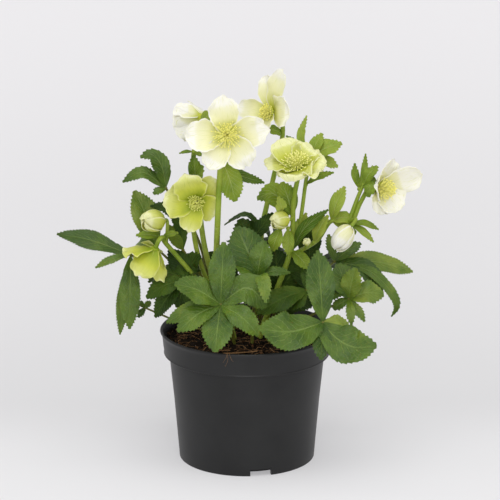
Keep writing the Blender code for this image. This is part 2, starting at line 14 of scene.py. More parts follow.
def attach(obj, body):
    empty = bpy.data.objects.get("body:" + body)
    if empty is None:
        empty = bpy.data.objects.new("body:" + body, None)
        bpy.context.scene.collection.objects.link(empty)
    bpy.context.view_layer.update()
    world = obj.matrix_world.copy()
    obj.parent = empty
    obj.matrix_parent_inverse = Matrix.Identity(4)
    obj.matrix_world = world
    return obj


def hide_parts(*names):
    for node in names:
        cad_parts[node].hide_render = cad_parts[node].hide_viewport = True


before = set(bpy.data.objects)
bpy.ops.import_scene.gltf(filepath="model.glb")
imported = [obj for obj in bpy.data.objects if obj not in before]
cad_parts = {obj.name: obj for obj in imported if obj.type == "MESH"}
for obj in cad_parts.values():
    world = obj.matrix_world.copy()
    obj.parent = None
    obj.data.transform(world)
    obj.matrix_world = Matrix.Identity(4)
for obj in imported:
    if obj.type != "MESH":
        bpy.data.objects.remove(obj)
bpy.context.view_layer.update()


# The pot is one thin moulding of black plastic. It has a rounded lip, an upright collar over a tapered
# body, and drain notches cut through the ring that it stands on.
MM = 0.001
POT_HEIGHT = 130 * MM
LIP_RADIUS = 85 * MM
LIP_ROUND = 1.3 * MM
COLLAR_TOP_RADIUS = 83.3 * MM
COLLAR_FOOT_RADIUS = 81 * MM
COLLAR_DEPTH = 24 * MM
COLLAR_EDGE = 0.8 * MM
COLLAR_BEAD = 0.4 * MM
BODY_TOP_RADIUS = 75.6 * MM
FOOT_RADIUS = 66.5 * MM
WALL = 1.8 * MM
FOOT_RING = 5 * MM
CHANNEL_WIDTH = 9 * MM
CHANNEL_HEIGHT = 4 * MM
BASE_PANEL = 2.5 * MM
DRAFT = 1 * MM
FOOT_ROUND = 0.6 * MM
NOTCHES = 3
NOTCH_WIDTH = 21 * MM
NOTCH_HEIGHT = 7 * MM
NOTCH_TURN = math.radians(-78)
POT_SIDES = 144
POT_SHARP = 35
WELD = 0.01 * MM


def arc(centre, radius, start, end, steps):
    """Points on part of a circle, as (radius, height) of a profile; the angles are in degrees."""
    angles = [math.radians(start + (end - start) * number / steps) for number in range(steps + 1)]
    return [(centre[0] + radius * math.cos(a), centre[1] + radius * math.sin(a)) for a in angles]


def turned(profile, sides):
    """A closed (radius, height) outline spun full circle about the pot's axis."""
    shape = bmesh.new()
    corners = [shape.verts.new((radius, 0, height)) for radius, height in profile]
    loop = [shape.edges.new(pair) for pair in zip(corners, corners[1:])]
    bmesh.ops.spin(
        shape, geom=corners + loop, axis=(0, 0, 1), cent=(0, 0, 0),
        angle=2 * math.pi, steps=sides, use_merge=True,
    )
    bmesh.ops.remove_doubles(shape, verts=shape.verts, dist=WELD)
    return shape


def add_object(name, data):
    """A new object in the scene."""
    added = bpy.data.objects.new(name, data)
    bpy.context.scene.collection.objects.link(added)
    return added


def piece_from(shape, name, material, smooth_angle=50):
    """The finished object of one bmesh, with its faces turned outwards, smooth but for its sharp edges."""
    bmesh.ops.recalc_face_normals(shape, faces=shape.faces)
    mesh = bpy.data.meshes.new(name)
    shape.to_mesh(mesh)
    shape.free()
    mesh.shade_smooth()
    mesh.set_sharp_from_angle(angle=math.radians(smooth_angle))
    mesh.materials.append(material)
    return add_object(name, mesh)


def new_material(name):
    """An empty Principled material, with its node tree and shader."""
    material = bpy.data.materials.new(name)
    material.use_nodes = True
    return material, material.node_tree, material.node_tree.nodes["Principled BSDF"]


def feed(node, inputs):
    """Gives inputs of a node their plain values, or links them to the outputs given."""
    for name, value in inputs.items():
        if isinstance(value, bpy.types.NodeSocket):
            node.id_data.links.new(value, node.inputs[name])
        else:
            node.inputs[name].default_value = value


def add_node(tree, kind, inputs):
    """A new shader node, fed with its inputs."""
    node = tree.nodes.new("ShaderNode" + kind)
    feed(node, inputs)
    return node


def noise_over(tree, scale, detail):
    """Noise that stays in its place on the piece."""
    where = add_node(tree, "TexCoord", {}).outputs["Object"]
    return add_node(tree, "TexNoise", {"Vector": where, "Scale": scale, "Detail": detail}).outputs["Fac"]


def ramp_of(value, stops, interpolation="LINEAR"):
    """The colours of the stops, as (position, colour), along a value."""
    node = add_node(value.id_data, "ValToRGB", {"Fac": value})
    node.color_ramp.interpolation = interpolation
    band = node.color_ramp.elements
    for stop, (position, colour) in ((band[0], stops[0]), (band[1], stops[-1])):
        stop.position = position
        stop.color = (*colour, 1)
    for position, colour in stops[1:-1]:
        band.new(position).color = (*colour, 1)
    return node.outputs["Color"]


def ranged(value, low, high, start, end, interpolation="SMOOTHSTEP"):
    """A value between low and high, brought to between start and end."""
    node = value.id_data.nodes.new("ShaderNodeMapRange")
    node.interpolation_type = interpolation
    feed(node, {"Value": value, "From Min": low, "From Max": high, "To Min": start, "To Max": end})
    return node.outputs["Result"]


def relief(height, strength, distance):
    """Fine relief that is up to distance high."""
    bump = add_node(height.id_data, "Bump", {"Height": height, "Strength": strength, "Distance": distance})
    return bump.outputs["Normal"]


step = POT_HEIGHT - COLLAR_DEPTH
ring = FOOT_RADIUS - FOOT_RING
panel = ring - CHANNEL_WIDTH
floor = CHANNEL_HEIGHT + BASE_PANEL
inner_top = BODY_TOP_RADIUS - WALL
outside = [
    # Below: the middle panel, the channel round it, and the ring that the pot stands on.
    (0, 0), (panel, 0), (panel + DRAFT, CHANNEL_HEIGHT), (ring - DRAFT, CHANNEL_HEIGHT), (ring, 0),
    *arc((FOOT_RADIUS - FOOT_ROUND, FOOT_ROUND), FOOT_ROUND, -90, 0, 3),
    # The body, slightly bowed, up to the step under the collar.
    (FOOT_RADIUS + 1.1 * MM, 14 * MM), (FOOT_RADIUS + 5 * MM, 60 * MM), (BODY_TOP_RADIUS, step - 6 * MM),
    (BODY_TOP_RADIUS + 0.1 * MM, step - 1.2 * MM), (BODY_TOP_RADIUS + 1.2 * MM, step),
    # The collar, with a bead round its foot, and the lip.
    *arc((COLLAR_FOOT_RADIUS + COLLAR_BEAD - COLLAR_EDGE, step + COLLAR_EDGE), COLLAR_EDGE, -90, 50, 5),
    (COLLAR_FOOT_RADIUS + 0.1 * MM, step + 2.2 * MM),
    (COLLAR_FOOT_RADIUS + 0.9 * MM, step + 8 * MM), (COLLAR_TOP_RADIUS - 0.3 * MM, POT_HEIGHT - 6 * MM),
    (COLLAR_TOP_RADIUS + 0.3 * MM, POT_HEIGHT - 4 * MM),
    *arc((LIP_RADIUS - LIP_ROUND, POT_HEIGHT - LIP_ROUND), LIP_ROUND, -40, 120, 8),
]
inside = [
    (LIP_RADIUS - 3.2 * MM, POT_HEIGHT - 2 * MM), (COLLAR_TOP_RADIUS - 3.4 * MM, POT_HEIGHT - 8 * MM),
    (COLLAR_FOOT_RADIUS - 2.5 * MM, step + 4 * MM), (inner_top, step - 2 * MM),
    (FOOT_RADIUS - WALL + 0.4 * MM, floor), (panel, floor), (panel - 2 * MM, BASE_PANEL), (0, BASE_PANEL),
]
pot = piece_from(turned(outside + inside, POT_SIDES), "moulded_pot", None)

cutter = bmesh.new()
for number in range(NOTCHES):
    turn = Matrix.Rotation(2 * math.pi * number / NOTCHES + NOTCH_TURN, 4, "Z")
    size = Matrix.Diagonal((FOOT_RING * 3, NOTCH_WIDTH, 2 * NOTCH_HEIGHT, 1))
    bmesh.ops.create_cube(cutter, size=1, matrix=turn @ Matrix.Translation((FOOT_RADIUS, 0, 0)) @ size)
cutters = piece_from(cutter, "notch_cutters", None)
cut = pot.modifiers.new("notches", "BOOLEAN")
cut.operation = "DIFFERENCE"
cut.solver = "EXACT"
cut.object = cutters
graph = bpy.context.evaluated_depsgraph_get()
pot_mesh = bpy.data.meshes.new_from_object(pot.evaluated_get(graph))
pot.modifiers.clear()
pot.data = pot_mesh
bpy.data.objects.remove(cutters)
pot_mesh.set_sharp_from_angle(angle=math.radians(POT_SHARP))

black_plastic, tree, shader = new_material("black_moulded_plastic")
scuffs = noise_over(tree, scale=35, detail=6)
feed(shader, {
    "Base Color": ramp_of(scuffs, [(0.35, (0.0085, 0.0086, 0.0088)), (0.7, (0.0125, 0.0127, 0.013))]),
    "Roughness": ranged(scuffs, 0, 1, 0.38, 0.52, "LINEAR"),
    "Specular IOR Level": 0.33,
    "Normal": relief(noise_over(tree, scale=1400, detail=2), strength=0.12, distance=0.0002),
})
pot_mesh.materials.clear()
pot_mesh.materials.append(black_plastic)
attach(pot, "root")
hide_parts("pot")


# The soil is dark potting mix that fills the pot to a little below its lip: crumbs of peat, and red-brown
# coir fibres that lie in all directions, with a few hanging over the lip.
SOIL_TOP = 120 * MM
SOIL_RADIUS = 79.6 * MM
SOIL_RELIEF = 3.2 * MM
SOIL_MOUND = 3 * MM
SOIL_LUMPS = 60
SOIL_GAP = 0.4 * MM
SOIL_SIDES = 120
SOIL_RINGS = 46
CRUMBS = 620
CRUMB_SIZES = (0.7, 1.0, 1.4, 2.2)
FIBRES = 420
FIBRE_LENGTHS = (5, 17)
FIBRE_RADII = (0.16, 0.36)
FIBRE_BOW = 0.25
FIBRE_LIFT = 1.6
COARSE_FIBRE = (0.7 * MM, 0.5 * MM)
FINE_FIBRE = (0.13 * MM, 0.07 * MM)
SEED = 11


def smooth_route(points, steps):
    """A smooth curve through the points, as a list of points on it."""
    ends = [2 * points[0] - points[1], *points, 2 * points[-1] - points[-2]]
    route = []
    for a, b, c, d in zip(ends, ends[1:], ends[2:], ends[3:]):
        for number in range(steps):
            u = number / steps
            line = 2 * b + (c - a) * u
            bend = (2 * a - 5 * b + 4 * c - d) * u**2 + (3 * b - a - 3 * c + d) * u**3
            route.append((line + bend) / 2)
    return [*route, points[-1]]


def like(shape):
    """An empty bmesh with the same one vertex layer as shape, and that layer."""
    small = bmesh.new()
    if shape.verts.layers.float:
        return small, small.verts.layers.float.new(shape.verts.layers.float.keys()[0])
    return small, small.verts.layers.float_vector.new(shape.verts.layers.float_vector.keys()[0])


def join(shape, small):
    """Adds the finished small bmesh to shape."""
    mesh = bpy.data.meshes.new("small")
    small.to_mesh(mesh)
    small.free()
    shape.from_mesh(mesh)
    bpy.data.meshes.remove(mesh)


def stalk(whole, points, start_radius, end_radius, sides=8, steps=5, value=0):
    """A round stalk along a smooth curve, ring by ring. Its corners keep value in the layer of the whole."""
    route = smooth_route(points, steps)
    shape, mark = like(whole)
    drawn = bmesh.ops.create_circle(shape, cap_ends=True, segments=sides, radius=1)["verts"]
    end = list({face for corner in drawn for face in corner.link_faces})
    before = Matrix.Identity(4)
    heading = Vector((0, 0, 1))
    turn = Quaternion()
    for number, point in enumerate(route):
        ahead = route[min(number + 1, len(route) - 1)]
        behind = route[max(number - 1, 0)]
        new_heading = (ahead - behind).normalized()
        turn = heading.rotation_difference(new_heading) @ turn
        heading = new_heading
        share = number / (len(route) - 1)
        radius = start_radius + (end_radius - start_radius) * share
        now = Matrix.LocRotScale(point, turn, Vector((radius, radius, radius)))
        if number:
            rim = {edge for face in end for edge in face.edges}
            new = bmesh.ops.extrude_face_region(shape, geom=[*end, *rim])["geom"]
            end = [item for item in new if isinstance(item, bmesh.types.BMFace)]
        corners = {corner for face in end for corner in face.verts}
        bmesh.ops.transform(shape, matrix=now @ before.inverted(), verts=list(corners))
        before = now
        for corner in corners:
            corner[mark] = value
    join(whole, shape)


def lump(whole, seat, detail, value):
    """A small round body, put in its seat and added to the whole."""
    shape, mark = like(whole)
    ball = bmesh.ops.create_icosphere(shape, subdivisions=detail, radius=1, matrix=seat)["verts"]
    for corner in ball:
        corner[mark] = value
    join(whole, shape)


def place(x, y, z):
    """A point of the object, from millimetres."""
    return Vector((x, y, z)) * MM


def soil_height(x, y):
    """The height of the soil's surface: a low mound with lumps."""
    spot = Vector((x, y, 0))
    lumps = noise.fractal(spot * SOIL_LUMPS, 0.9, 2.1, 5) * SOIL_RELIEF
    return SOIL_TOP + SOIL_MOUND * (1 - spot.length / SOIL_RADIUS) + lumps


def math_of(operation, *given):
    """A sum on outputs and plain values, the first of them an output."""
    node = given[0].id_data.nodes.new("ShaderNodeMath")
    node.operation = operation
    feed(node, dict(enumerate(given)))
    return node.outputs["Value"]


def layer_of(tree, name):
    """The outputs that read a layer of the mesh."""
    node = tree.nodes.new("ShaderNodeAttribute")
    node.attribute_name = name
    return node.outputs


# All random draws come from here, so the pieces keep their shapes only when they are made in this order.
draw = random.Random(SEED)
bottom = BASE_PANEL + SOIL_GAP
above_channel = floor + SOIL_GAP
side = [
    (0, bottom), (panel - 2.5 * MM, bottom), (panel - DRAFT, above_channel),
    (FOOT_RADIUS - WALL - DRAFT, above_channel), (inner_top - DRAFT, step - 2 * MM),
    (COLLAR_FOOT_RADIUS - 3.4 * MM, step + 6 * MM), (SOIL_RADIUS - DRAFT, SOIL_TOP - 2 * MM),
]
top = [(SOIL_RADIUS * (1 - number / SOIL_RINGS), SOIL_TOP) for number in range(SOIL_RINGS + 1)]
soil = turned(side + top, SOIL_SIDES)
tone = soil.verts.layers.float.new("tone")
for corner in soil.verts:
    if corner.co.z > SOIL_TOP - 1 * MM:
        corner.co.z = soil_height(corner.co.x, corner.co.y)
    corner[tone] = 0.12 + 0.1 * noise.noise(corner.co * 300)

for number in range(CRUMBS):
    around = draw.uniform(0, 2 * math.pi)
    away = SOIL_RADIUS * math.sqrt(draw.uniform(0, 0.96))
    x, y = away * math.cos(around), away * math.sin(around)
    size = draw.choice(CRUMB_SIZES) * draw.uniform(0.7, 1.2) * MM
    axis = (draw.uniform(-1, 1), draw.uniform(-1, 1), draw.uniform(-1, 1))
    spin = Quaternion(axis, draw.uniform(0, 3))
    flat = Vector((size * draw.uniform(0.7, 1.5), size, size * draw.uniform(0.5, 0.9)))
    seat = Matrix.LocRotScale(Vector((x, y, soil_height(x, y) + size * 0.2)), spin, flat)
    lump(soil, seat, detail=1, value=draw.uniform(0, 0.45))

for number in range(FIBRES):
    around = draw.uniform(0, 2 * math.pi)
    away = SOIL_RADIUS * math.sqrt(draw.uniform(0, 0.9))
    heading = draw.uniform(0, 2 * math.pi)
    length = draw.uniform(*FIBRE_LENGTHS) * MM
    bow = draw.uniform(-FIBRE_BOW, FIBRE_BOW) * length
    along = Vector((math.cos(heading), math.sin(heading), 0))
    across = Vector((-along.y, along.x, 0))
    middle = Vector((away * math.cos(around), away * math.sin(around), 0))
    ends = [middle - along * length / 2, middle + across * bow, middle + along * length / 2]
    if max(spot.length for spot in ends) > SOIL_RADIUS - 2 * MM:
        continue
    lift = draw.uniform(0, FIBRE_LIFT) * MM
    route = [Vector((spot.x, spot.y, soil_height(spot.x, spot.y) + lift * (index == 1) + 0.3 * MM))
             for index, spot in enumerate(ends)]
    radius = draw.uniform(*FIBRE_RADII) * MM
    stalk(soil, route, radius, radius * 0.6, sides=3, steps=3, value=draw.uniform(0.5, 1.0))

# Three coarse fibres lie across the front, and three fine ones hang over the lip.
for points in (
    [(-22, -62, 124), (-8, -66, 126), (10, -58, 125)],
    [(20, -70, 123), (34, -66, 125), (44, -56, 124)],
    [(-34, -66, 123), (-28, -60, 126), (-16, -55, 125)],
):
    stalk(soil, [place(*point) for point in points], *COARSE_FIBRE, sides=5, value=0.8)
for points in (
    [(-20, -76, 125), (-19, -84, 131.5), (-18, -87.2, 125), (-21, -87, 119)],
    [(-16, -77, 125), (-18, -84, 132), (-20, -87, 127), (-23, -86.8, 123)],
    [(-18, -77, 125), (-17, -84, 131.5), (-15, -87.4, 127), (-13, -87, 124)],
):
    stalk(soil, [place(*point) for point in points], *FINE_FIBRE, sides=3, value=0.8)

potting_mix, tree, shader = new_material("potting_mix")
speckle = noise_over(tree, scale=260, detail=8)
feed(shader, {
    "Base Color": ramp_of(math_of("MULTIPLY_ADD", speckle, 0.5, layer_of(tree, "tone")["Fac"]), [
        (0.25, (0.006, 0.0035, 0.0022)), (0.5, (0.016, 0.009, 0.005)), (0.75, (0.115, 0.055, 0.025)),
        (1.0, (0.30, 0.165, 0.075)),
    ]),
    "Roughness": 0.9,
    "Specular IOR Level": 0.1,
    "Normal": relief(speckle, strength=0.7, distance=0.0012),
})
soil_piece = piece_from(soil, "potting_mix_fill", potting_mix)
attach(soil_piece, "root")
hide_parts("soil")


# Each leaf is one grown piece: a petiole from the soil, and toothed leaflets that spread like fingers from
# its end. The blades are thin and leathery, channelled along a pale midrib, with side veins that run
# forward to the teeth.
LEAF_THICKNESS = 0.5 * MM
PETIOLE_RADIUS = 1.7 * MM
PETIOLE_NECK = 0.06
PETIOLE_BEND = 0.4
PETIOLE_BEND_HEIGHT = 0.68
ROOT_DEPTH = 18 * MM
NECK_HEIGHT = 8 * MM
BLADE_WIDEST = 1.14
BLADE_FULLNESS = 0.76
BLADE_NECK = 0.45 * MM
BLADE_ARCH = 0.12
BLADE_FOLD = 0.26
BLADE_CURL = 0.16
BLADE_WAVE = 0.075
BLADE_RIPPLES = (1.5, 2.5)
BLADE_COLUMNS = 4
FEWEST_TEETH = 6
TOOTH = 1.1 * MM
TOOTH_PITCH = 2.9 * MM
TOOTH_DEPTHS = (0.55, 1.3)
TOOTH_LEAN = 0.75
SHEET_WELD = 0.02 * MM
BACK_HUBS = 40 * MM
PETIOLE_COLOUR = (0.12, 0.125, 0.018)
PETIOLE_MARK = (-1, 0.5, 0)
FORWARD_SKY = Vector((0, -0.8, 1)).normalized()
BACKWARD_SKY = Vector((0, 0.5, 1)).normalized()


def walked(route, share):
    """The point at a share of the route's length, and the direction there."""
    lengths = [(after - before).length for before, after in zip(route, route[1:])]
    left = min(max(share, 0), 1) * sum(lengths)
    for before, after, length in zip(route, route[1:], lengths):
        if left <= length or after is route[-1]:
            return before + (after - before) * min(left / length, 1), (after - before).normalized()
        left -= length


def thickened(shape, thickness):
    """Gives the thin sheets of shape a second skin, drawn off the first along its normals."""
    bmesh.ops.recalc_face_normals(shape, faces=shape.faces)
    skin = bmesh.ops.extrude_face_region(shape, geom=[*shape.faces, *shape.edges, *shape.verts])["geom"]
    for item in skin:
        if isinstance(item, bmesh.types.BMVert):
            item.co += item.normal * thickness


def blade(shape, vein, start, tip, width, via=(), arch=BLADE_ARCH, roll=0, sky=FORWARD_SKY, toothed=0.22,
          tint=None):
    """A leaf blade as a thin sheet along its midrib, which passes through via or else rises by arch.

    Roll turns it about its length. It is toothed from that share of its length on, channelled along the
    midrib, with edges that curl down and ripple. Tint makes it lighter above 0 and darker below: the random
    default is the leaflet's own tone, and the low tints given to some leaflets paint the shade they lie in.
    """
    if via:
        middle = [place(*point) for point in via]
    else:
        across = (tip - start).cross(sky).normalized()
        middle = [(start + tip) / 2 + across.cross(tip - start) * arch]
    route = smooth_route([start, *middle, tip], 8)
    teeth = max(round((tip - start).length / TOOTH_PITCH), FEWEST_TEETH)
    rows = 2 * teeth
    depths = [[draw.uniform(*TOOTH_DEPTHS) for _ in range(rows + 1)] for _ in range(2)]
    phase = draw.uniform(0, 2 * math.pi)
    tint = draw.uniform(-0.3, 0.3) if tint is None else tint
    ripples = draw.uniform(*BLADE_RIPPLES)
    drawn = bmesh.ops.create_grid(shape, x_segments=rows, y_segments=2 * BLADE_COLUMNS, size=1)["verts"]
    for corner in drawn:
        row = round((corner.co.x + 1) / 2 * rows)
        side = corner.co.y
        along = row / rows
        half = width / 2 * max(math.sin(math.pi * along**BLADE_WIDEST), 0) ** BLADE_FULLNESS
        out = max(half, BLADE_NECK * (row < rows)) * abs(side)
        if abs(side) > 0.99 and along > toothed and row < rows:
            if row % 2 == 0:
                out -= min(TOOTH * depths[side > 0][row], half * 0.35)
            else:
                along += TOOTH_LEAN / rows
        share = out / (width / 2)
        point, ahead = walked(route, along)
        across = ahead.cross(sky).normalized()
        across.rotate(Quaternion(ahead, math.radians(roll)))
        above = across.cross(ahead)
        swing = ripples * 2 * math.pi * along + phase * (1 if side > 0 else -1)
        ripple = BLADE_WAVE * width * math.sin(swing) * share**2
        rise = BLADE_FOLD * out - BLADE_CURL * out * share + ripple
        corner.co = point + across * math.copysign(out, side) * (side != 0) + above * rise
        corner[vein] = (along, side, tint)
    bmesh.ops.remove_doubles(shape, verts=drawn, dist=SHEET_WELD)


def petiole_route(foot, hub):
    """From below the soil straight up, then over to the hub."""
    root = place(foot[0], foot[1], 0) + Vector((0, 0, SOIL_TOP - ROOT_DEPTH))
    out = Vector((hub.x - root.x, hub.y - root.y, 0))
    neck = root + out * PETIOLE_NECK + Vector((0, 0, ROOT_DEPTH + NECK_HEIGHT))
    middle = root + out * PETIOLE_BEND + Vector((0, 0, (hub.z - root.z) * PETIOLE_BEND_HEIGHT))
    return [root, neck, middle, hub]


def layer_parts(tree, name):
    """The three parts of a vector layer of the mesh."""
    parts = add_node(tree, "SeparateXYZ", {"Vector": layer_of(tree, name)["Vector"]})
    return [parts.outputs[axis] for axis in "XYZ"]


def mixed(factor, plain, colour):
    """The plain colour with another laid over it."""
    node = factor.id_data.nodes.new("ShaderNodeMix")
    node.data_type = "RGBA"
    feed(node, {"Factor": factor, "A": plain, "B": (*colour, 1)})
    return node.outputs["Result"]


def leaf_finish(name, deep, fresh, light, rib, roughness, shine=0.22):
    """Leathery green, mottled between three greens and moved along them by each leaflet's tint, which on
    some leaflets is painted shade; with a pale midrib and side veins.
    """
    material, tree, shader = new_material(name)
    along, side, tint = layer_parts(tree, "vein")
    away = math_of("ABSOLUTE", side)
    bend = math_of("MULTIPLY", math_of("POWER", away, 0.8), 3.0)
    phase = math_of("SUBTRACT", math_of("MULTIPLY_ADD", along, 9.0, noise_over(tree, 150, 2)), bend)
    near_vein = ranged(math_of("PINGPONG", phase, 0.5), 0, 0.10, 1, 0)
    side_vein = math_of("MULTIPLY", near_vein, ranged(away, 0.1, 1, 0.75, 0.25))
    midrib = math_of("MULTIPLY", ranged(away, 0.0, 0.085, 1, 0), ranged(along, 0, 1, 1, 0.35))
    veins = math_of("MAXIMUM", midrib, side_vein)
    mottle = math_of("MULTIPLY_ADD", noise_over(tree, 700, 2), 0.14, noise_over(tree, 45, 5))
    shade = math_of("MULTIPLY_ADD", tint, 0.25, math_of("SUBTRACT", mottle, 0.07))
    green = ramp_of(shade, [(0.34, deep), (0.6, fresh), (1.0, light)])
    veined = mixed(math_of("MULTIPLY", veins, 0.6), green, rib)
    quilt = math_of("MULTIPLY_ADD", noise_over(tree, 130, 2), 1.6, noise_over(tree, 420, 3))
    feed(shader, {
        "Base Color": mixed(ranged(along, -0.5, -0.1, 1, 0), veined, PETIOLE_COLOUR),
        "Roughness": ranged(noise_over(tree, 60, 3), 0.3, 0.7, roughness - 0.08, roughness + 0.1),
        "Specular IOR Level": shine,
        "Normal": relief(math_of("MULTIPLY_ADD", veins, -0.8, quilt), strength=0.6, distance=0.0011),
        "Subsurface Weight": 0.06,
        "Subsurface Scale": 0.002,
    })
    return material


def leaf(node, hub, foot, leaflets, material, slot, radius=PETIOLE_RADIUS):
    """One leaf: its leaflets as (tip, width, arch, options), given their thickness, and its petiole."""
    shape = bmesh.new()
    vein = shape.verts.layers.float_vector.new("vein")
    hub = place(*hub)
    sky = FORWARD_SKY if hub.y < BACK_HUBS else BACKWARD_SKY
    for tip, width, arch, *given in leaflets:
        options = given[0] if given else {}
        blade(shape, vein, hub, place(*tip), width * MM, arch=arch, sky=sky, **options)
    thickened(shape, LEAF_THICKNESS)
    stalk(shape, petiole_route(foot, hub), radius * 1.15, radius * 0.7, steps=8, value=PETIOLE_MARK)
    lump(shape, Matrix.Translation(hub) @ Matrix.Scale(radius, 4), detail=2, value=PETIOLE_MARK)
    piece = piece_from(shape, node + "_grown", material, smooth_angle=60)
    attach(piece, "root")
    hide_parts(node)


FRESH = leaf_finish(
    "leaf_green", deep=(0.034, 0.078, 0.004), fresh=(0.082, 0.145, 0.010), light=(0.24, 0.30, 0.04),
    rib=(0.24, 0.33, 0.08), roughness=0.38, shine=0.32,
), "leaf_green"
# The second finish paints shade: the same leaves in darker greens and with less shine, for the leaves inside
# and at the back of the plant, where shade falls.
SHADED_LEAF = leaf_finish(
    "leaf_painted_shade", deep=(0.014, 0.036, 0.002), fresh=(0.042, 0.082, 0.006), light=(0.11, 0.16, 0.015),
    rib=(0.11, 0.17, 0.03), roughness=0.5, shine=0.14,
), "dark_leaf_green"

leaf("leaf_front_left", (-25, -58, 172), (-12, -26), [
    ((-69, -66, 195), 31, 0.16, dict(via=[(-47, -64, 188)])),
    ((-30, -92, 135), 31, 0.16, dict(via=[(-28, -82, 154)])),
    ((11, -82, 148), 25, 0.14, dict(via=[(-4, -76, 164)])),
    ((17, -54, 167), 32, 0.30, dict(via=[(-3, -58, 188), (10, -58, 182)], roll=15)),
    ((-22, -46, 231), 27, 0.08), ((-66, -78, 151), 26, 0.14), ((-77, -56, 153), 20, 0.14),
], *FRESH)
leaf("leaf_centre", (10, -34, 192), (5, -22), [
    ((17, -30, 228), 24, 0.06), ((42, -36, 197), 12, 0.2),
    ((18, -70, 177), 15, 0.1, dict(via=[(14, -50, 198), (17, -64, 190)], tint=0.5)),
    # The first leaflet's tint of -0.8 is painted shade, because it lies behind the others.
    ((-10, -24, 240), 38, 0.06, dict(tint=-0.8)), ((-16, -36, 208), 26, 0.1, dict(roll=25)),
], *FRESH)
leaf("leaf_front_right", (73, -58, 154), (20, -26), [
    ((11, -90, 158), 41, 0.14, dict(via=[(42, -82, 152)], roll=-12)), ((68, -40, 221), 29, 0.06),
    ((124, -84, 139), 41, 0.14, dict(via=[(85, -72, 143), (103, -81, 136)], roll=6)),
    ((98, -50, 149), 15, 0.15, dict(tint=1.8)),
    # This leaflet's tint of -1.6 is painted shade, because it lies partly in shadow behind the others.
    ((71, -82, 124), 20, 0.1, dict(tint=-1.6)),
    ((58, -74, 140), 16, 0.1),
], *FRESH)
leaf("leaf_right", (99, -20, 166), (30, -12), [
    ((133, -16, 169), 27, 0.2, dict(via=[(116, -20, 172)], tint=0.6)),
    ((105, -28, 200), 22, 0.1, dict(tint=0.7)), ((114, -34, 147), 10, 0.1, dict(tint=0.2)),
    ((88, -14, 200), 28, 0.1, dict(tint=-0.2)), ((84, -26, 157), 13, 0.1),
    ((101, -40, 145), 10, 0.2, dict(tint=0.5)),
], *FRESH)
leaf("leaf_far_right", (86, 20, 192), (27, 6), [
    ((164, 42, 175), 25, 0.14, dict(via=[(127, 32, 188)], tint=0.9)),
    ((131, 14, 158), 23, 0.3, dict(via=[(112, 14, 188), (126, 14, 175)], tint=-0.6)),
    ((142, 12, 138), 13, 0.3,
     dict(via=[(117, 12, 186), (134, 14, 172), (145, 12, 157), (147, 12, 147)], tint=0.3)),
    ((112, 30, 208), 16, 0.1), ((80, 30, 217), 12, 0.1),
], *FRESH)
leaf("leaf_mid_right", (58, -24, 176), (19, -12), [
    ((37, -34, 162), 28, 0.1), ((10, -46, 159), 28, 0.1, dict(tint=0.5)),
    ((44, 8, 206), 28, 0.1, dict(via=[(55, 2, 187)])), ((70, -6, 200), 26, 0.1), ((95, -16, 173), 28, 0.1),
], *SHADED_LEAF)
leaf("leaf_inner_right", (30, 6, 166), (19, 3), [
    ((58, 8, 193), 36, 0.1), ((64, 2, 152), 34, 0.12), ((2, 4, 181), 34, 0.1), ((42, 8, 138), 28, 0.1),
    ((28, 12, 208), 32, 0.1),
], *SHADED_LEAF)
leaf("leaf_inner_back", (-30, 34, 164), (-11, 22), [
    ((-14, 34, 192), 36, 0.1), ((-56, 34, 184), 36, 0.1), ((-4, 30, 158), 34, 0.12),
    ((-52, 36, 142), 34, 0.12), ((-36, 36, 198), 30, 0.1),
], *SHADED_LEAF)
leaf("leaf_low_left", (-59, -22, 186), (-22, -18), [
    ((-97, -30, 170), 22, 0.15), ((-89, -22, 148), 20, 0.12),
    ((-44, -8, 206), 24, 0.1, dict(via=[(-54, -5, 196)])),
    ((-85, -4, 189), 22, 0.1), ((-66, -24, 158), 24, 0.1),
    ((-76, 6, 208), 22, 0.1, dict(via=[(-66, -4, 199)])),
], *SHADED_LEAF)
leaf("leaf_small_low", (-99, -4, 152), (-32, -14), [
    ((-106, -10, 144), 8, 0.1), ((-94, -2, 158), 8, 0.1), ((-109, 4, 156), 8, 0.1),
], *FRESH, radius=1.3 * MM)
leaf("leaf_far_left", (-113, 0, 205), (-36, -2), [
    ((-185, 6, 224), 22, 0.05, dict(via=[(-154, 3, 219)], tint=-0.6)), ((-147, -12, 195), 10, 0.1),
    ((-114, -22, 136), 22, 0.08), ((-124, -8, 126), 14, 0.1),
], *FRESH)
leaf("leaf_inner_left", (-62, 2, 209), (-26, -3), [
    ((-94, 10, 251), 17, 0.2, dict(via=[(-65, 4, 238), (-79, 8, 250)])),
    ((-77, 4, 233), 18, 0.1, dict(tint=2.5)),
], *SHADED_LEAF)
leaf("leaf_tall_left", (-89, 16, 208), (-35, 8), [
    ((-110, 24, 263), 29, 0.06, dict(via=[(-98, 18, 238)], tint=0.9)), ((-112, 36, 200), 22, 0.1),
], *FRESH)
leaf("leaf_upper_left", (-79, 26, 265), (-26, 19), [
    ((-104, 30, 295), 19, 0.25, dict(via=[(-83, 28, 286), (-92, 30, 297)], toothed=0.35)),
    ((-121, 22, 272), 15, 0.2, dict(via=[(-101, 24, 281)], toothed=0.35)), ((-91, 18, 261), 10, 0.1),
], *FRESH)
leaf("leaf_back_centre", (3, 18, 209), (2, 22), [
    ((-7, 22, 235), 26, 0.1),
    ((-22, 30, 226), 13, 0.25, dict(via=[(8, 22, 230), (-4, 26, 238)], roll=35)), ((26, 26, 240), 16, 0.1),
], *SHADED_LEAF)
leaf("leaf_back_upper", (24, 48, 198), (12, 18), [
    ((42, 62, 228), 26, 0.1), ((8, 66, 222), 26, 0.1), ((46, 92, 188), 26, 0.14), ((10, 84, 196), 24, 0.14),
], *SHADED_LEAF)
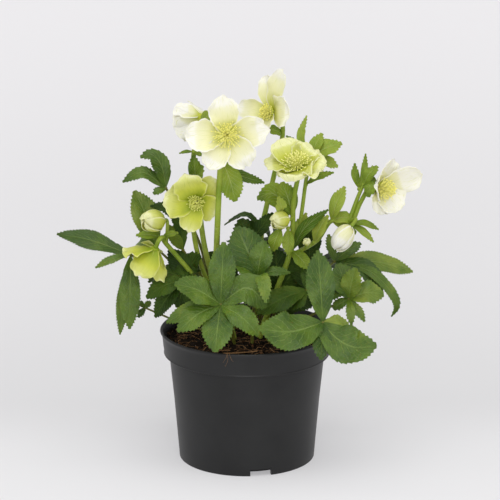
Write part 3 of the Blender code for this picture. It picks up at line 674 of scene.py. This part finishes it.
leaf("leaf_back_left", (-54, 58, 172), (-20, 26), [
    ((-98, 74, 154), 30, 0.16), ((-70, 106, 152), 30, 0.16), ((-30, 104, 160), 28, 0.16),
    ((-84, 46, 178), 22, 0.14),
], *SHADED_LEAF)
leaf("leaf_back_middle", (6, 66, 180), (2, 32), [
    ((-12, 112, 166), 30, 0.16), ((24, 116, 160), 30, 0.16), ((46, 88, 178), 26, 0.14),
    ((-20, 84, 194), 24, 0.12),
], *SHADED_LEAF)
leaf("leaf_back_right", (62, 52, 180), (22, 24), [
    ((78, 96, 160), 30, 0.16), ((108, 74, 158), 30, 0.16), ((104, 46, 186), 24, 0.12),
    ((60, 62, 222), 26, 0.08),
], *SHADED_LEAF)


# The flower stems are fleshy and yellow-green. One forks several times to carry two blooms and three buds,
# and small bright leaves, the bracts, grow at its forks. HEADS gives each bloom or bud its middle, the way
# it faces, and how far behind its middle its stalk ends.
THICK = 3.0 * MM
THIN = 2.2 * MM
STEM_NECK = 0.12
STEM_SIDES = 10
STEM_MARK = (0.5, 0.5, 1.1)
BRACT_KNOB = 2.2 * MM
BRACT_TOOTHED = 0.7
HEADS = {
    "front_bloom": ((-19, -24, 331), (0.05, -1, 0.2), 2.05),
    "side_bloom": ((-44, 42, 332), (-0.6, 0.65, -0.4), 2.2),
    "top_bloom": ((25, 40, 337), (-0.7, -0.65, 0.28), 2.2),
    "broad_bloom": ((48, -20, 296), (-0.12, -0.45, 0.88), 2.05),
    "green_bloom": ((-48, -20, 264), (-0.15, -1, 0), 2.3),
    "left_bloom": ((-88, -30, 220), (-0.35, 0.3, -0.85), 2.05),
    "right_bloom": ((126, 4, 271), (0.65, -0.72, 0.1), 2.05),
    "left_bud": ((-90, -26, 246), (-0.55, -0.65, 0.2), 13),
    "middle_bud": ((32, -20, 245), (-0.6, -0.6, 0.1), 11),
    "right_bud": ((93, -18, 227), (-0.55, -0.3, -0.75), 14),
    "small_bud": ((58, -22, 224), (0.1, -0.7, 0.6), 6),
}


def reach(name):
    """The last two points of a stalk, on the axis behind a bloom or bud."""
    centre, facing, back = HEADS[name]
    facing = Vector(facing).normalized()
    return [tuple(Vector(centre) - facing * away) for away in (back + 8, back)]


def flower_stem(node, stalks, whorls, foot):
    """A flower stem: its branches, then whorls of bracts as (hub, [(tip, width, arch, options), ...])."""
    shape = bmesh.new()
    vein = shape.verts.layers.float_vector.new("vein")
    for hub, bracts in whorls:
        for tip, width, *given in bracts:
            options = dict(arch=given[0] if given else BLADE_ARCH, toothed=BRACT_TOOTHED)
            options.update(given[1] if len(given) > 1 else {})
            blade(shape, vein, place(*hub), place(*tip), width * MM, **options)
    if whorls:
        thickened(shape, LEAF_THICKNESS)
    for number, (points, start, end) in enumerate(stalks):
        points = [place(*point) for point in points]
        if number == 0:
            root = place(foot[0], foot[1], 0) + Vector((0, 0, SOIL_TOP - ROOT_DEPTH))
            neck = root + Vector((points[0].x - root.x, points[0].y - root.y, 0)) * STEM_NECK
            points = [root, neck + Vector((0, 0, ROOT_DEPTH + NECK_HEIGHT)), *points]
        stalk(shape, points, start, end, STEM_SIDES, steps=7, value=STEM_MARK)
    for hub, _ in whorls:
        lump(shape, Matrix.Translation(place(*hub)) @ Matrix.Scale(BRACT_KNOB, 4), detail=2, value=STEM_MARK)
    piece = piece_from(shape, node + "_grown", stem_green, smooth_angle=60)
    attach(piece, "root")
    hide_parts(node)


stem_green = leaf_finish(
    "stem_green", deep=(0.06, 0.12, 0.004), fresh=(0.17, 0.25, 0.016), light=(0.31, 0.38, 0.05),
    rib=(0.46, 0.53, 0.20), roughness=0.4,
)
LIGHT = dict(tint=1.3)
flower_stem("stem_front_bloom", [
    ([(-30, -12, 177), (-29, -22, 220), (-27.5, -32, 258), (-26, -24, 288), (-24, -9, 315),
      *reach("front_bloom")], THICK * 1.1, THICK * 0.85),
], [
    ((-24, -11, 304), [((-11, -24, 265), 25, 0.12, dict(tint=0.9, toothed=0.25)),
                      ((17, 0, 277), 14, 0.2, dict(via=[(-8, -6, 287)], tint=-0.6))]),
], (-12, -8))
flower_stem("stem_side_bloom", [
    ([(-38, 12, 195), (-46, 24, 240), (-52, 36, 294), (-43, 31, 322), *reach("side_bloom")], THICK, THIN),
], [
    ((-50, 31, 268), [((-52, 28, 298), 13), ((-43, 27, 288), 13, 0.15)]),
    ((-52, 35, 299), [((-66, 29, 299), 4), ((-43, 29, 296), 5)]),
    ((-43, 31, 325), [((-31, 26, 344), 12, 0.2, LIGHT), ((-36, 27, 327), 7, 0.1, LIGHT)]),
], (-14, 12))
flower_stem("stem_top_bloom", [
    ([(14, 27, 215), (19, 34, 243), (27, 40, 276), (35, 45, 314), *reach("top_bloom")], THICK, THIN),
], [
    ((35, 45, 314), [((19, 38, 321), 12)]),
], (6, 10))
flower_stem("stem_broad_bloom", [
    ([(28, -6, 168), (43, -4, 213), (45, -10, 260), *reach("broad_bloom")], THICK, THIN),
    ([(43, -4, 210), (51, -2, 234), (57, -2, 279), (61, 6, 300)], THIN, THIN * 0.8),
    ([(43, -4, 205), (68, -2, 220), (82, 0, 239), (100, 0, 236), (110, 4, 256), *reach("right_bloom")],
     THIN, THIN),
    ([(98, 0, 236), (108, 6, 262), (113, 8, 273)], THIN, THIN * 0.8),
    ([(43, -6, 234), *reach("middle_bud")], THIN * 0.8, THIN * 0.8),
    ([(96, 0, 237), *reach("right_bud")], THIN * 0.8, THIN * 0.8),
    ([(52, -3, 209), *reach("small_bud")], THIN * 0.7, THIN * 0.6),
], [
    ((61, 6, 300), [((58, 18, 340), 8, 0.1, dict(via=[(52, 12, 318)], tint=1.3)),
                    ((73, 14, 323), 13, 0.12, LIGHT), ((92, 10, 314), 19, 0.12, LIGHT),
                    ((88, 4, 292), 14, 0.12, LIGHT), ((38, 16, 320), 8)]),
    ((33, -14, 250), [((30, -24, 270), 12, 0.12, LIGHT)]),
    ((57, -2, 276), [((84, -10, 290), 9)]),
    ((44, -6, 246), [((10, 4, 260), 24, 0.1, dict(via=[(26, 0, 266)])), ((34, 4, 277), 20)]),
    ((33, -14, 236), [((25, -18, 214), 14, 0.15, dict(tint=0.3))]),
    ((40, -9, 234), [((40, -17, 210), 12, 0.15, dict(tint=0.8))]),
    ((44, -4, 210), [((79, -6, 252), 13, 0.2, dict(tint=-0.9)),
                     ((60, -14, 194), 15, 0.12, dict(tint=0.4)), ((58, 4, 246), 14, 0.15, LIGHT)]),
    ((65, -5, 219), [((79, -8, 247), 13, 0.12, dict(tint=1.7))]),
    ((109, 8, 269), [((104.5, 8, 295), 8, 0.1, dict(via=[(105, 7, 283)], tint=0.3)),
                     ((115, 10, 304), 6.5, 0.1, dict(via=[(113.5, 9, 286)], tint=0.7))]),
    ((113, 8, 273), [((127, 14, 290), 12, 0.25, dict(tint=0.6)), ((125, 10, 278), 13, 0.2, dict(tint=0.2)),
                     ((117, -4, 264), 12, 0.3, dict(via=[(119, -3, 275)], tint=0))]),
    ((99, 0, 236), [((128, 4, 229), 8, 0.2, dict(tint=0.5)), ((123, -2, 218), 8, 0.15, dict(tint=0.7))]),
    ((82, 0, 239), [((95, 6, 272), 14, 0.18, LIGHT), ((104, 2, 240), 15, 0.2, LIGHT),
                    ((106, 2, 226), 14, 0.12, LIGHT)]),
], (12, -6))
flower_stem("stem_green_bloom", [
    ([(-46, 4, 198), (-52, -2, 240), *reach("green_bloom")], THICK * 0.9, THIN),
], [], (-18, 2))
flower_stem("stem_left_bloom", [
    ([(-42, -10, 171), (-55, -14, 192), (-78, -17, 221), (-81, -27, 230), *reach("left_bloom")],
     THICK * 0.8, THIN),
    ([(-78, -16, 219), *reach("left_bud")], THIN * 0.8, THIN * 0.8),
], [
    ((-82, -20, 228), [((-107, -16, 229), 10, 0.1, dict(tint=0.1)),
                       ((-66, -18, 232), 7, 0.1, dict(tint=0.3))]),
], (-18, -12))


# Each bloom has five broad sepals that overlap like a fan round a green receptacle. They are thin and a
# little waxy, green at the foot and paler towards a ruffled edge.
SEPAL_THICKNESS = 0.55 * MM
SEPAL_START = 1.6 * MM
SEPAL_ROWS = 24
SEPAL_COLUMNS = 16
SEPAL_WIDEST = 0.6
SEPAL_FOOT = 0.28
SEPAL_TIP = 2.4
SEPAL_UNEVEN = ((0.16, 5), (0.06, 16))
SEPAL_RIPPLES = (130, 4.5)
SEPAL_FOLDS = (260, 3)
RECEPTACLE = 4.0 * MM
RECEPTACLE_FLAT = 0.42


def flower_frame(centre, facing):
    """The flower's own frame: +Z the way it faces, and +Y up as far as that goes."""
    facing = Vector(facing).normalized()
    right = Vector((0, 0, 1)).cross(facing).normalized()
    up = facing.cross(right)
    return Matrix.Translation(place(*centre)) @ Matrix((right, up, facing)).transposed().to_4x4()


def sepal(shape, petal, matrix, length, width, rise, flare, ruffle=0.09, blunt=0.55, twist=0.16, cup=0.24):
    """A broad sepal along +X of its own frame, cupped towards +Z.

    It rises at its foot and bends to flare at its tip, both in degrees. Its edge is ruffled and its tip
    rounded, more so where blunt is small, and twist lifts one edge over the neighbour.
    """
    rise, flare = math.radians(rise), math.radians(flare)
    bend = flare - rise if abs(flare - rise) > 0.01 else 0.01
    drawn = bmesh.ops.create_grid(shape, x_segments=SEPAL_ROWS, y_segments=SEPAL_COLUMNS, size=1)["verts"]
    seed = draw.uniform(0, 99)
    tint = draw.uniform(-1, 1)
    for corner in drawn:
        along, side = 1 - (1 - (corner.co.x + 1) / 2) ** 1.8, corner.co.y
        if along < SEPAL_WIDEST:
            half = SEPAL_FOOT + (1 - SEPAL_FOOT) * math.sin(math.pi / 2 * along / SEPAL_WIDEST)
        else:
            beyond = (along - SEPAL_WIDEST) / (1 - SEPAL_WIDEST)
            half = max(1 - beyond**SEPAL_TIP, 0) ** blunt
        uneven = 0
        for depth, pitch in SEPAL_UNEVEN:
            uneven += depth * noise.noise((along * pitch, math.copysign(1, side), seed))
        half *= width / 2 * (1 + uneven)
        sideways = side * half
        fold = noise.noise((sideways * SEPAL_FOLDS[0], along * SEPAL_FOLDS[1], seed))
        angle = rise + bend * along * (1 + 0.07 * fold * along)
        out = SEPAL_START + length * (math.sin(angle) - math.sin(rise)) / bend
        up = length * (math.cos(rise) - math.cos(angle)) / bend
        share = abs(sideways) / (width / 2)
        edge = max(share**2, along**5)
        wave = noise.noise((sideways * SEPAL_RIPPLES[0], along * SEPAL_RIPPLES[1], seed + 7))
        height = half * (cup * side**2 + twist * side) + ruffle * width * edge * wave * 2
        corner.co = matrix @ Vector((
            out - height * math.sin(angle), sideways, up + height * math.cos(angle),
        ))
        corner[petal] = (max(along, 0.9 * abs(side) ** 7), side, tint)
    bmesh.ops.remove_doubles(shape, verts=drawn, dist=SHEET_WELD)


def sepal_finish(name, foot, middle, edge, vein_colour):
    """Soft petal tissue: three colours from foot to edge, with fine veins that fan along it."""
    material, tree, shader = new_material(name)
    along, side, tint = layer_parts(tree, "petal")
    stretch = add_node(tree, "CombineXYZ", {
        "X": math_of("MULTIPLY", along, 1.6), "Y": math_of("MULTIPLY", side, 9.0),
        "Z": math_of("MULTIPLY", tint, 3.0),
    }).outputs["Vector"]
    streaks = add_node(tree, "TexNoise", {"Vector": stretch, "Scale": 2.2, "Detail": 4}).outputs["Fac"]
    pale = [a + 0.4 * (b - a) for a, b in zip(middle, edge)]
    colour = ramp_of(math_of("MULTIPLY_ADD", streaks, 0.3, along), [
        (0.26, foot), (0.62, middle), (0.92, pale), (1.0, edge),
    ])
    feed(shader, {
        "Base Color": mixed(ranged(streaks, 0.56, 0.66, 0, 0.5, "LINEAR"), colour, vein_colour),
        "Roughness": 0.5,
        "Specular IOR Level": 0.3,
        "Normal": relief(streaks, strength=0.25, distance=0.0006),
        "Subsurface Weight": 0.25,
        "Subsurface Radius": (1.0, 0.9, 0.5),
        "Subsurface Scale": 0.004,
    })
    return material


WHITE = sepal_finish(
    "white_sepal", foot=(0.46, 0.49, 0.035), middle=(0.76, 0.74, 0.40), edge=(0.84, 0.82, 0.70),
    vein_colour=(0.62, 0.64, 0.20),
), "white_sepal"
LIME = sepal_finish(
    "lime_sepal", foot=(0.22, 0.30, 0.008), middle=(0.48, 0.51, 0.05), edge=(0.74, 0.74, 0.38),
    vein_colour=(0.32, 0.38, 0.02),
), "lime_sepal"


def sepals_of(name, sepals, material, slot, ripe=1.0):
    """The sepals of one bloom as (angle, length, width, rise, flare, options), round their receptacle.

    Ripe below 1 brings the green of the foot further out.
    """
    to_place = flower_frame(*HEADS[name][:2])
    shape = bmesh.new()
    petal = shape.verts.layers.float_vector.new("petal")
    for angle, length, width, rise, flare, *given in sepals:
        matrix = to_place @ Matrix.Rotation(math.radians(angle), 4, "Z")
        options = given[0] if given else {}
        sepal(shape, petal, matrix, length * MM, width * MM, rise, flare, **options)
    for corner in shape.verts:
        corner[petal] = corner[petal] * Vector((ripe, 1, 1))
    thickened(shape, SEPAL_THICKNESS)
    seat = to_place @ Matrix.Diagonal((1, 1, RECEPTACLE_FLAT, 1))
    lump(shape, seat @ Matrix.Scale(RECEPTACLE, 4), detail=3, value=(0, 0, 0))
    piece = piece_from(shape, name + "_open_sepals", material, smooth_angle=70)
    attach(piece, "root")
    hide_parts(name + "_sepals")


sepals_of("front_bloom", [
    (98, 37, 29, 30, -5, dict(blunt=0.62)), (8, 39, 30, 30, -5, dict(blunt=0.7)), (-56, 36, 29, 30, -10),
    (-121, 36.5, 26, 30, -5), (180, 41, 31, 30, -5, dict(blunt=0.72)),
], *WHITE, ripe=1.1)
sepals_of("side_bloom", [
    (angle, 28, 37, 60, 38, dict(ruffle=0.03, twist=0.02, cup=0.2)) for angle in (90, 18, -54, -126, 162)
], *WHITE, ripe=1.8)
sepals_of("top_bloom", [
    (72, 46, 20, 28, 0, dict(blunt=0.65)), (106, 36, 20, 30, -5, dict(blunt=0.45)),
    (183, 37, 20, 42, 5, dict(blunt=0.8)), (10, 27, 31, 28, -5), (-80, 22, 24, 40, 15),
], *WHITE)
sepals_of("broad_bloom", [
    (132, 33, 31, 42, 22), (55, 27, 32, 35, 10, dict(ruffle=0.15)), (-12, 30, 30, 28, 4, dict(ruffle=0.16)),
    (-82, 19.5, 36, 32, 2, dict(ruffle=0.18)), (-168, 31, 28, 32, 8),
], *LIME, ripe=1.12)
sepals_of("green_bloom", [
    (105, 32, 31, 42, 8), (48, 28, 26, 13, -14), (-22, 20, 28, 18, -6),
    (-104, 30, 23, 42, 2, dict(blunt=0.8)), (168, 32, 33, 42, 10),
], *LIME, ripe=0.9)
sepals_of("left_bloom", [
    (62, 32, 31, 34, 32, dict(blunt=0.8)), (-20, 31, 28, 55, 40), (-92, 33, 18, 55, 45, dict(blunt=0.9)),
    (-165, 30, 24, 50, 49), (134, 24, 22, 35, 20),
], *LIME, ripe=0.85)
sepals_of("right_bloom", [
    (52, 31, 29, 32, 5), (18, 44, 28, 45, 34), (-62, 30, 29, 46, 32), (-104, 26, 26, 34, 12),
    (160, 24, 26, 55, 40),
], *WHITE, ripe=1.6)


# In front of the sepals stands a tuft of fine stamens, each a pale thread with a yellow anther, round the
# pistils and a ring of small green nectaries. A row of them is its number, its share of the spread, and its
# height in millimetres.
STAMEN_ROWS = ((10, 0.14, 11.5), (18, 0.36, 11.0), (24, 0.62, 9.5), (28, 0.88, 8.0), (24, 1.12, 6.5))
THREAD = 0.3 * MM
ANTHER = Vector((0.6, 0.6, 1.0)) * MM
TUFT_FOOT = 2.2 * MM
FOOT_RING_REACH = 2.4 * MM
NECTARIES = 12
NECTARY_REACH = (3.2 * MM, 4.6 * MM)
NECTARY_RADII = (0.5 * MM, 0.95 * MM)
NECTARY_SPREAD = 4.5
PISTILS = 4
PISTIL_REACH = (0.9 * MM, 1.3 * MM, 2.2 * MM)
PISTIL_RADII = (0.9 * MM, 0.4 * MM)
PISTIL_HEIGHT = 10 * MM

stamen_yellow, tree, shader = new_material("stamen_yellow")
feed(shader, {
    "Base Color": ramp_of(layer_of(tree, "ripe")["Fac"], [
        (0.0, (0.52, 0.58, 0.03)), (0.5, (0.90, 0.88, 0.32)), (1.0, (0.92, 0.86, 0.22)),
    ]),
    "Roughness": 0.65,
    "Normal": relief(noise_over(tree, scale=2500, detail=2), strength=0.4, distance=0.0002),
    "Subsurface Weight": 0.1,
    "Subsurface Radius": (1.0, 0.9, 0.4),
    "Subsurface Scale": 0.003,
})


def ring_of(count):
    """The directions of count things set evenly round a flower's axis."""
    angles = [2 * math.pi * number / count for number in range(count)]
    return [Vector((math.cos(angle), math.sin(angle), 0)) for angle in angles]


def stamens_of(name, spread, height=1.0, ripe=1.0):
    """The tuft of one bloom: threads that lean out, nectaries round their foot and pistils in the middle."""
    to_place = flower_frame(*HEADS[name][:2])
    shape = bmesh.new()
    shape.verts.layers.float.new("ripe")
    axis = Vector((0, 0, 1))
    for count, share, tall in STAMEN_ROWS:
        for number in range(count):
            angle = 2 * math.pi * (number + draw.uniform(-0.5, 0.5)) / count
            out = Vector((math.cos(angle), math.sin(angle), 0))
            away = spread * MM * share * draw.uniform(0.7, 1.2)
            rise = tall * MM * height * draw.uniform(0.8, 1.12)
            base = out * FOOT_RING_REACH * (0.4 + 0.6 * share) + axis * TUFT_FOOT
            knee = base + out * away * 0.35 + axis * rise * 0.6
            end = base + out * away + axis * rise
            route = [to_place @ point for point in (base, knee, end)]
            stalk(shape, route, THREAD, THREAD * 0.8, sides=3, steps=2, value=0.5 * ripe)
            lean = (route[2] - route[1]).to_track_quat("Z", "Y")
            seat = Matrix.LocRotScale(route[2], lean, ANTHER)
            lump(shape, seat, detail=1, value=ripe * draw.uniform(0.85, 1))
    close = min(spread / NECTARY_SPREAD, 1)
    for out in ring_of(NECTARIES):
        points = [out * NECTARY_REACH[0] * close + axis * TUFT_FOOT * 0.8,
                  out * NECTARY_REACH[1] * close + axis * 2 * TUFT_FOOT]
        stalk(shape, [to_place @ point for point in points], *NECTARY_RADII, sides=6, steps=2, value=0.1)
    for out in ring_of(PISTILS):
        points = [out * PISTIL_REACH[0] + axis * TUFT_FOOT * 0.6,
                  out * PISTIL_REACH[1] + axis * (TUFT_FOOT + 4 * MM),
                  out * PISTIL_REACH[2] + axis * (TUFT_FOOT + PISTIL_HEIGHT * height)]
        stalk(shape, [to_place @ point for point in points], *PISTIL_RADII, sides=6, steps=4, value=0.5)
    piece = piece_from(shape, name + "_tuft", stamen_yellow)
    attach(piece, "root")
    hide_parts(name + "_stamens")


stamens_of("front_bloom", spread=10)
stamens_of("side_bloom", spread=2.8)
stamens_of("top_bloom", spread=4.5, height=1.1)
stamens_of("broad_bloom", spread=10, height=1.3, ripe=0.6)
stamens_of("green_bloom", spread=4.6, height=0.7, ripe=0.3)
stamens_of("left_bloom", spread=1.6, height=0.5, ripe=0.4)
stamens_of("right_bloom", spread=7.4, height=1.75)


# The buds are blooms still shut: five sepals wrapped over each other round a green core, each with one
# edge under its neighbour.
BUD_SEPALS = 5
BUD_SEPAL = 0.5 * MM
BUD_ROWS = 16
BUD_COLUMNS = 10
BUD_REACH = math.radians(50)
BUD_FOOT = 0.03
BUD_LENGTH = 0.93
BUD_TURN = 0.8
BUD_FULLNESS = 0.85
BUD_OVERLAP = 0.1


def bud(name, length, radius, material, slot, ripe, opening=0.0, turn=0):
    """One bud from its length and radius in millimetres; ripe sets how far its colour is from green."""
    to_place = flower_frame(*HEADS[name][:2])
    shape = bmesh.new()
    petal = shape.verts.layers.float_vector.new("petal")
    for number in range(BUD_SEPALS):
        middle = math.radians(360 / BUD_SEPALS * number + turn)
        seed = draw.uniform(0, 99)
        loose = opening * draw.uniform(0.5, 1.5)
        drawn = bmesh.ops.create_grid(shape, x_segments=BUD_ROWS, y_segments=BUD_COLUMNS, size=1)["verts"]
        for corner in drawn:
            along, side = (corner.co.x + 1) / 2, corner.co.y
            high = -0.5 * math.pi + math.pi * (BUD_FOOT + BUD_LENGTH * along)
            narrow = 1 - 0.5 * max(along - 0.5, 0) * 2 * abs(side) ** 0.5
            around = middle + side * BUD_REACH * narrow + BUD_TURN * along
            crease = 0.06 * noise.noise((side * 2, along * 4, seed))
            swell = 1 + BUD_OVERLAP * side + loose * along**2 + crease
            wide = radius * MM * swell * math.cos(high) ** BUD_FULLNESS
            rise = length / 2 * MM * math.sin(high) * (swell + 0.03)
            corner.co = to_place @ Vector((wide * math.cos(around), wide * math.sin(around), rise))
            corner[petal] = (ripe * (0.2 + 0.8 * max(abs(side) ** 4, along**1.5)), side, number - 2)
    thickened(shape, BUD_SEPAL)
    inner = Matrix.Diagonal((radius * 0.9 * MM, radius * 0.9 * MM, length * 0.45 * MM, 1))
    lump(shape, to_place @ inner, detail=3, value=(ripe * 0.75, 0, 0))
    piece = piece_from(shape, name + "_shut", material, smooth_angle=60)
    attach(piece, "root")
    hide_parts(name)


bud("left_bud", 24, 10.0, *LIME, ripe=1.1, opening=0.06, turn=30)
bud("middle_bud", 18, 8.2, *LIME, ripe=1.1, turn=36)
bud("right_bud", 24, 9.3, *WHITE, ripe=1.5, opening=0.03)
bud("small_bud", 7.5, 3.4, *LIME, ripe=1.3)


# The studio: a pale sweep that runs from the floor up into the backdrop, soft light from large panels
# above, in front and at both sides, and the photograph's long lens, three metres away and 16 degrees down.
SWEEP_WIDTH = 12.0
SWEEP_START = 0.30
SWEEP_RADIUS = 0.9
SWEEP_FRONT = -3.0
SWEEP_END = math.radians(46)
SWEEP_STEPS = 24
LENS = 222.1
DISTANCE = 3.0
PITCH = math.radians(16.04)
AIM = place(3.1, 0, 209.7)

sweep = bmesh.new()
profile = [(SWEEP_FRONT, 0), (-0.6, 0), (0, 0), (SWEEP_START, 0)]
for number in range(1, SWEEP_STEPS + 1):
    angle = SWEEP_END * number / SWEEP_STEPS
    profile.append((SWEEP_START + SWEEP_RADIUS * math.sin(angle), SWEEP_RADIUS * (1 - math.cos(angle))))
corners = [sweep.verts.new((-SWEEP_WIDTH / 2, y, z)) for y, z in profile]
line = [sweep.edges.new(pair) for pair in zip(corners, corners[1:])]
drawn = bmesh.ops.extrude_edge_only(sweep, edges=line)["geom"]
moved = [item for item in drawn if isinstance(item, bmesh.types.BMVert)]
bmesh.ops.translate(sweep, vec=(SWEEP_WIDTH, 0, 0), verts=moved)
paper, tree, shader = new_material("pale_sweep")
where = add_node(tree, "TexCoord", {}).outputs["Object"]
depth = add_node(tree, "SeparateXYZ", {"Vector": where}).outputs["Y"]
# The colour along the sweep is painted shade: it is darker in a band just behind the pot, where less light
# falls on the floor, and paler in front and up into the backdrop.
feed(shader, {
    "Base Color": ramp_of(depth, [
        (0.0, (0.455, 0.453, 0.454)), (0.18, (0.375, 0.373, 0.373)), (0.6, (0.41, 0.405, 0.408)),
        (1.0, (0.455, 0.447, 0.453)),
    ], "EASE"),
    "Roughness": 0.9,
    "Specular IOR Level": 0.1,
    # The sweep's emission is a painted glow, which lifts the shadows on the floor round the pot.
    "Emission Color": (0.98, 0.97, 1.0, 1),
    "Emission Strength": 0.35,
})
sweep_piece = piece_from(sweep, "pale_sweep", paper)


def panel_light(name, place_at, target, size, power):
    """A square soft panel aimed at a point."""
    data = bpy.data.lights.new(name, "AREA")
    data.size = size
    data.energy = power
    light = add_object(name, data)
    light.location = place_at
    light.rotation_euler = (Vector(target) - Vector(place_at)).to_track_quat("-Z", "Y").to_euler()


panel_light("top_panel", (0, -0.5, 2.3), (0, 0.1, 0.1), 1.8, 20)
panel_light("front_panel", (0, -2.6, 0.95), (0, 0, 0.25), 1.6, 25)
panel_light("left_panel", (-2.0, -0.6, 1.4), (0, 0, 0.2), 1.4, 9)
panel_light("right_panel", (2.0, -0.6, 1.4), (0, 0, 0.2), 1.4, 9)
world = bpy.data.worlds.new("studio")
world.use_nodes = True
feed(world.node_tree.nodes["Background"], {"Color": (1, 1, 1, 1), "Strength": 0.55})
bpy.context.scene.world = world

lens = bpy.data.cameras.new("long_lens")
lens.lens = LENS
lens.sensor_width = 36
lens.clip_end = 20
camera = add_object("long_lens", lens)
camera.location = AIM + Vector((0, -math.cos(PITCH), math.sin(PITCH))) * DISTANCE
camera.rotation_euler = (math.pi / 2 - PITCH, 0, 0)
bpy.context.scene.camera = camera
bpy.context.scene.view_settings.view_transform = "Standard"
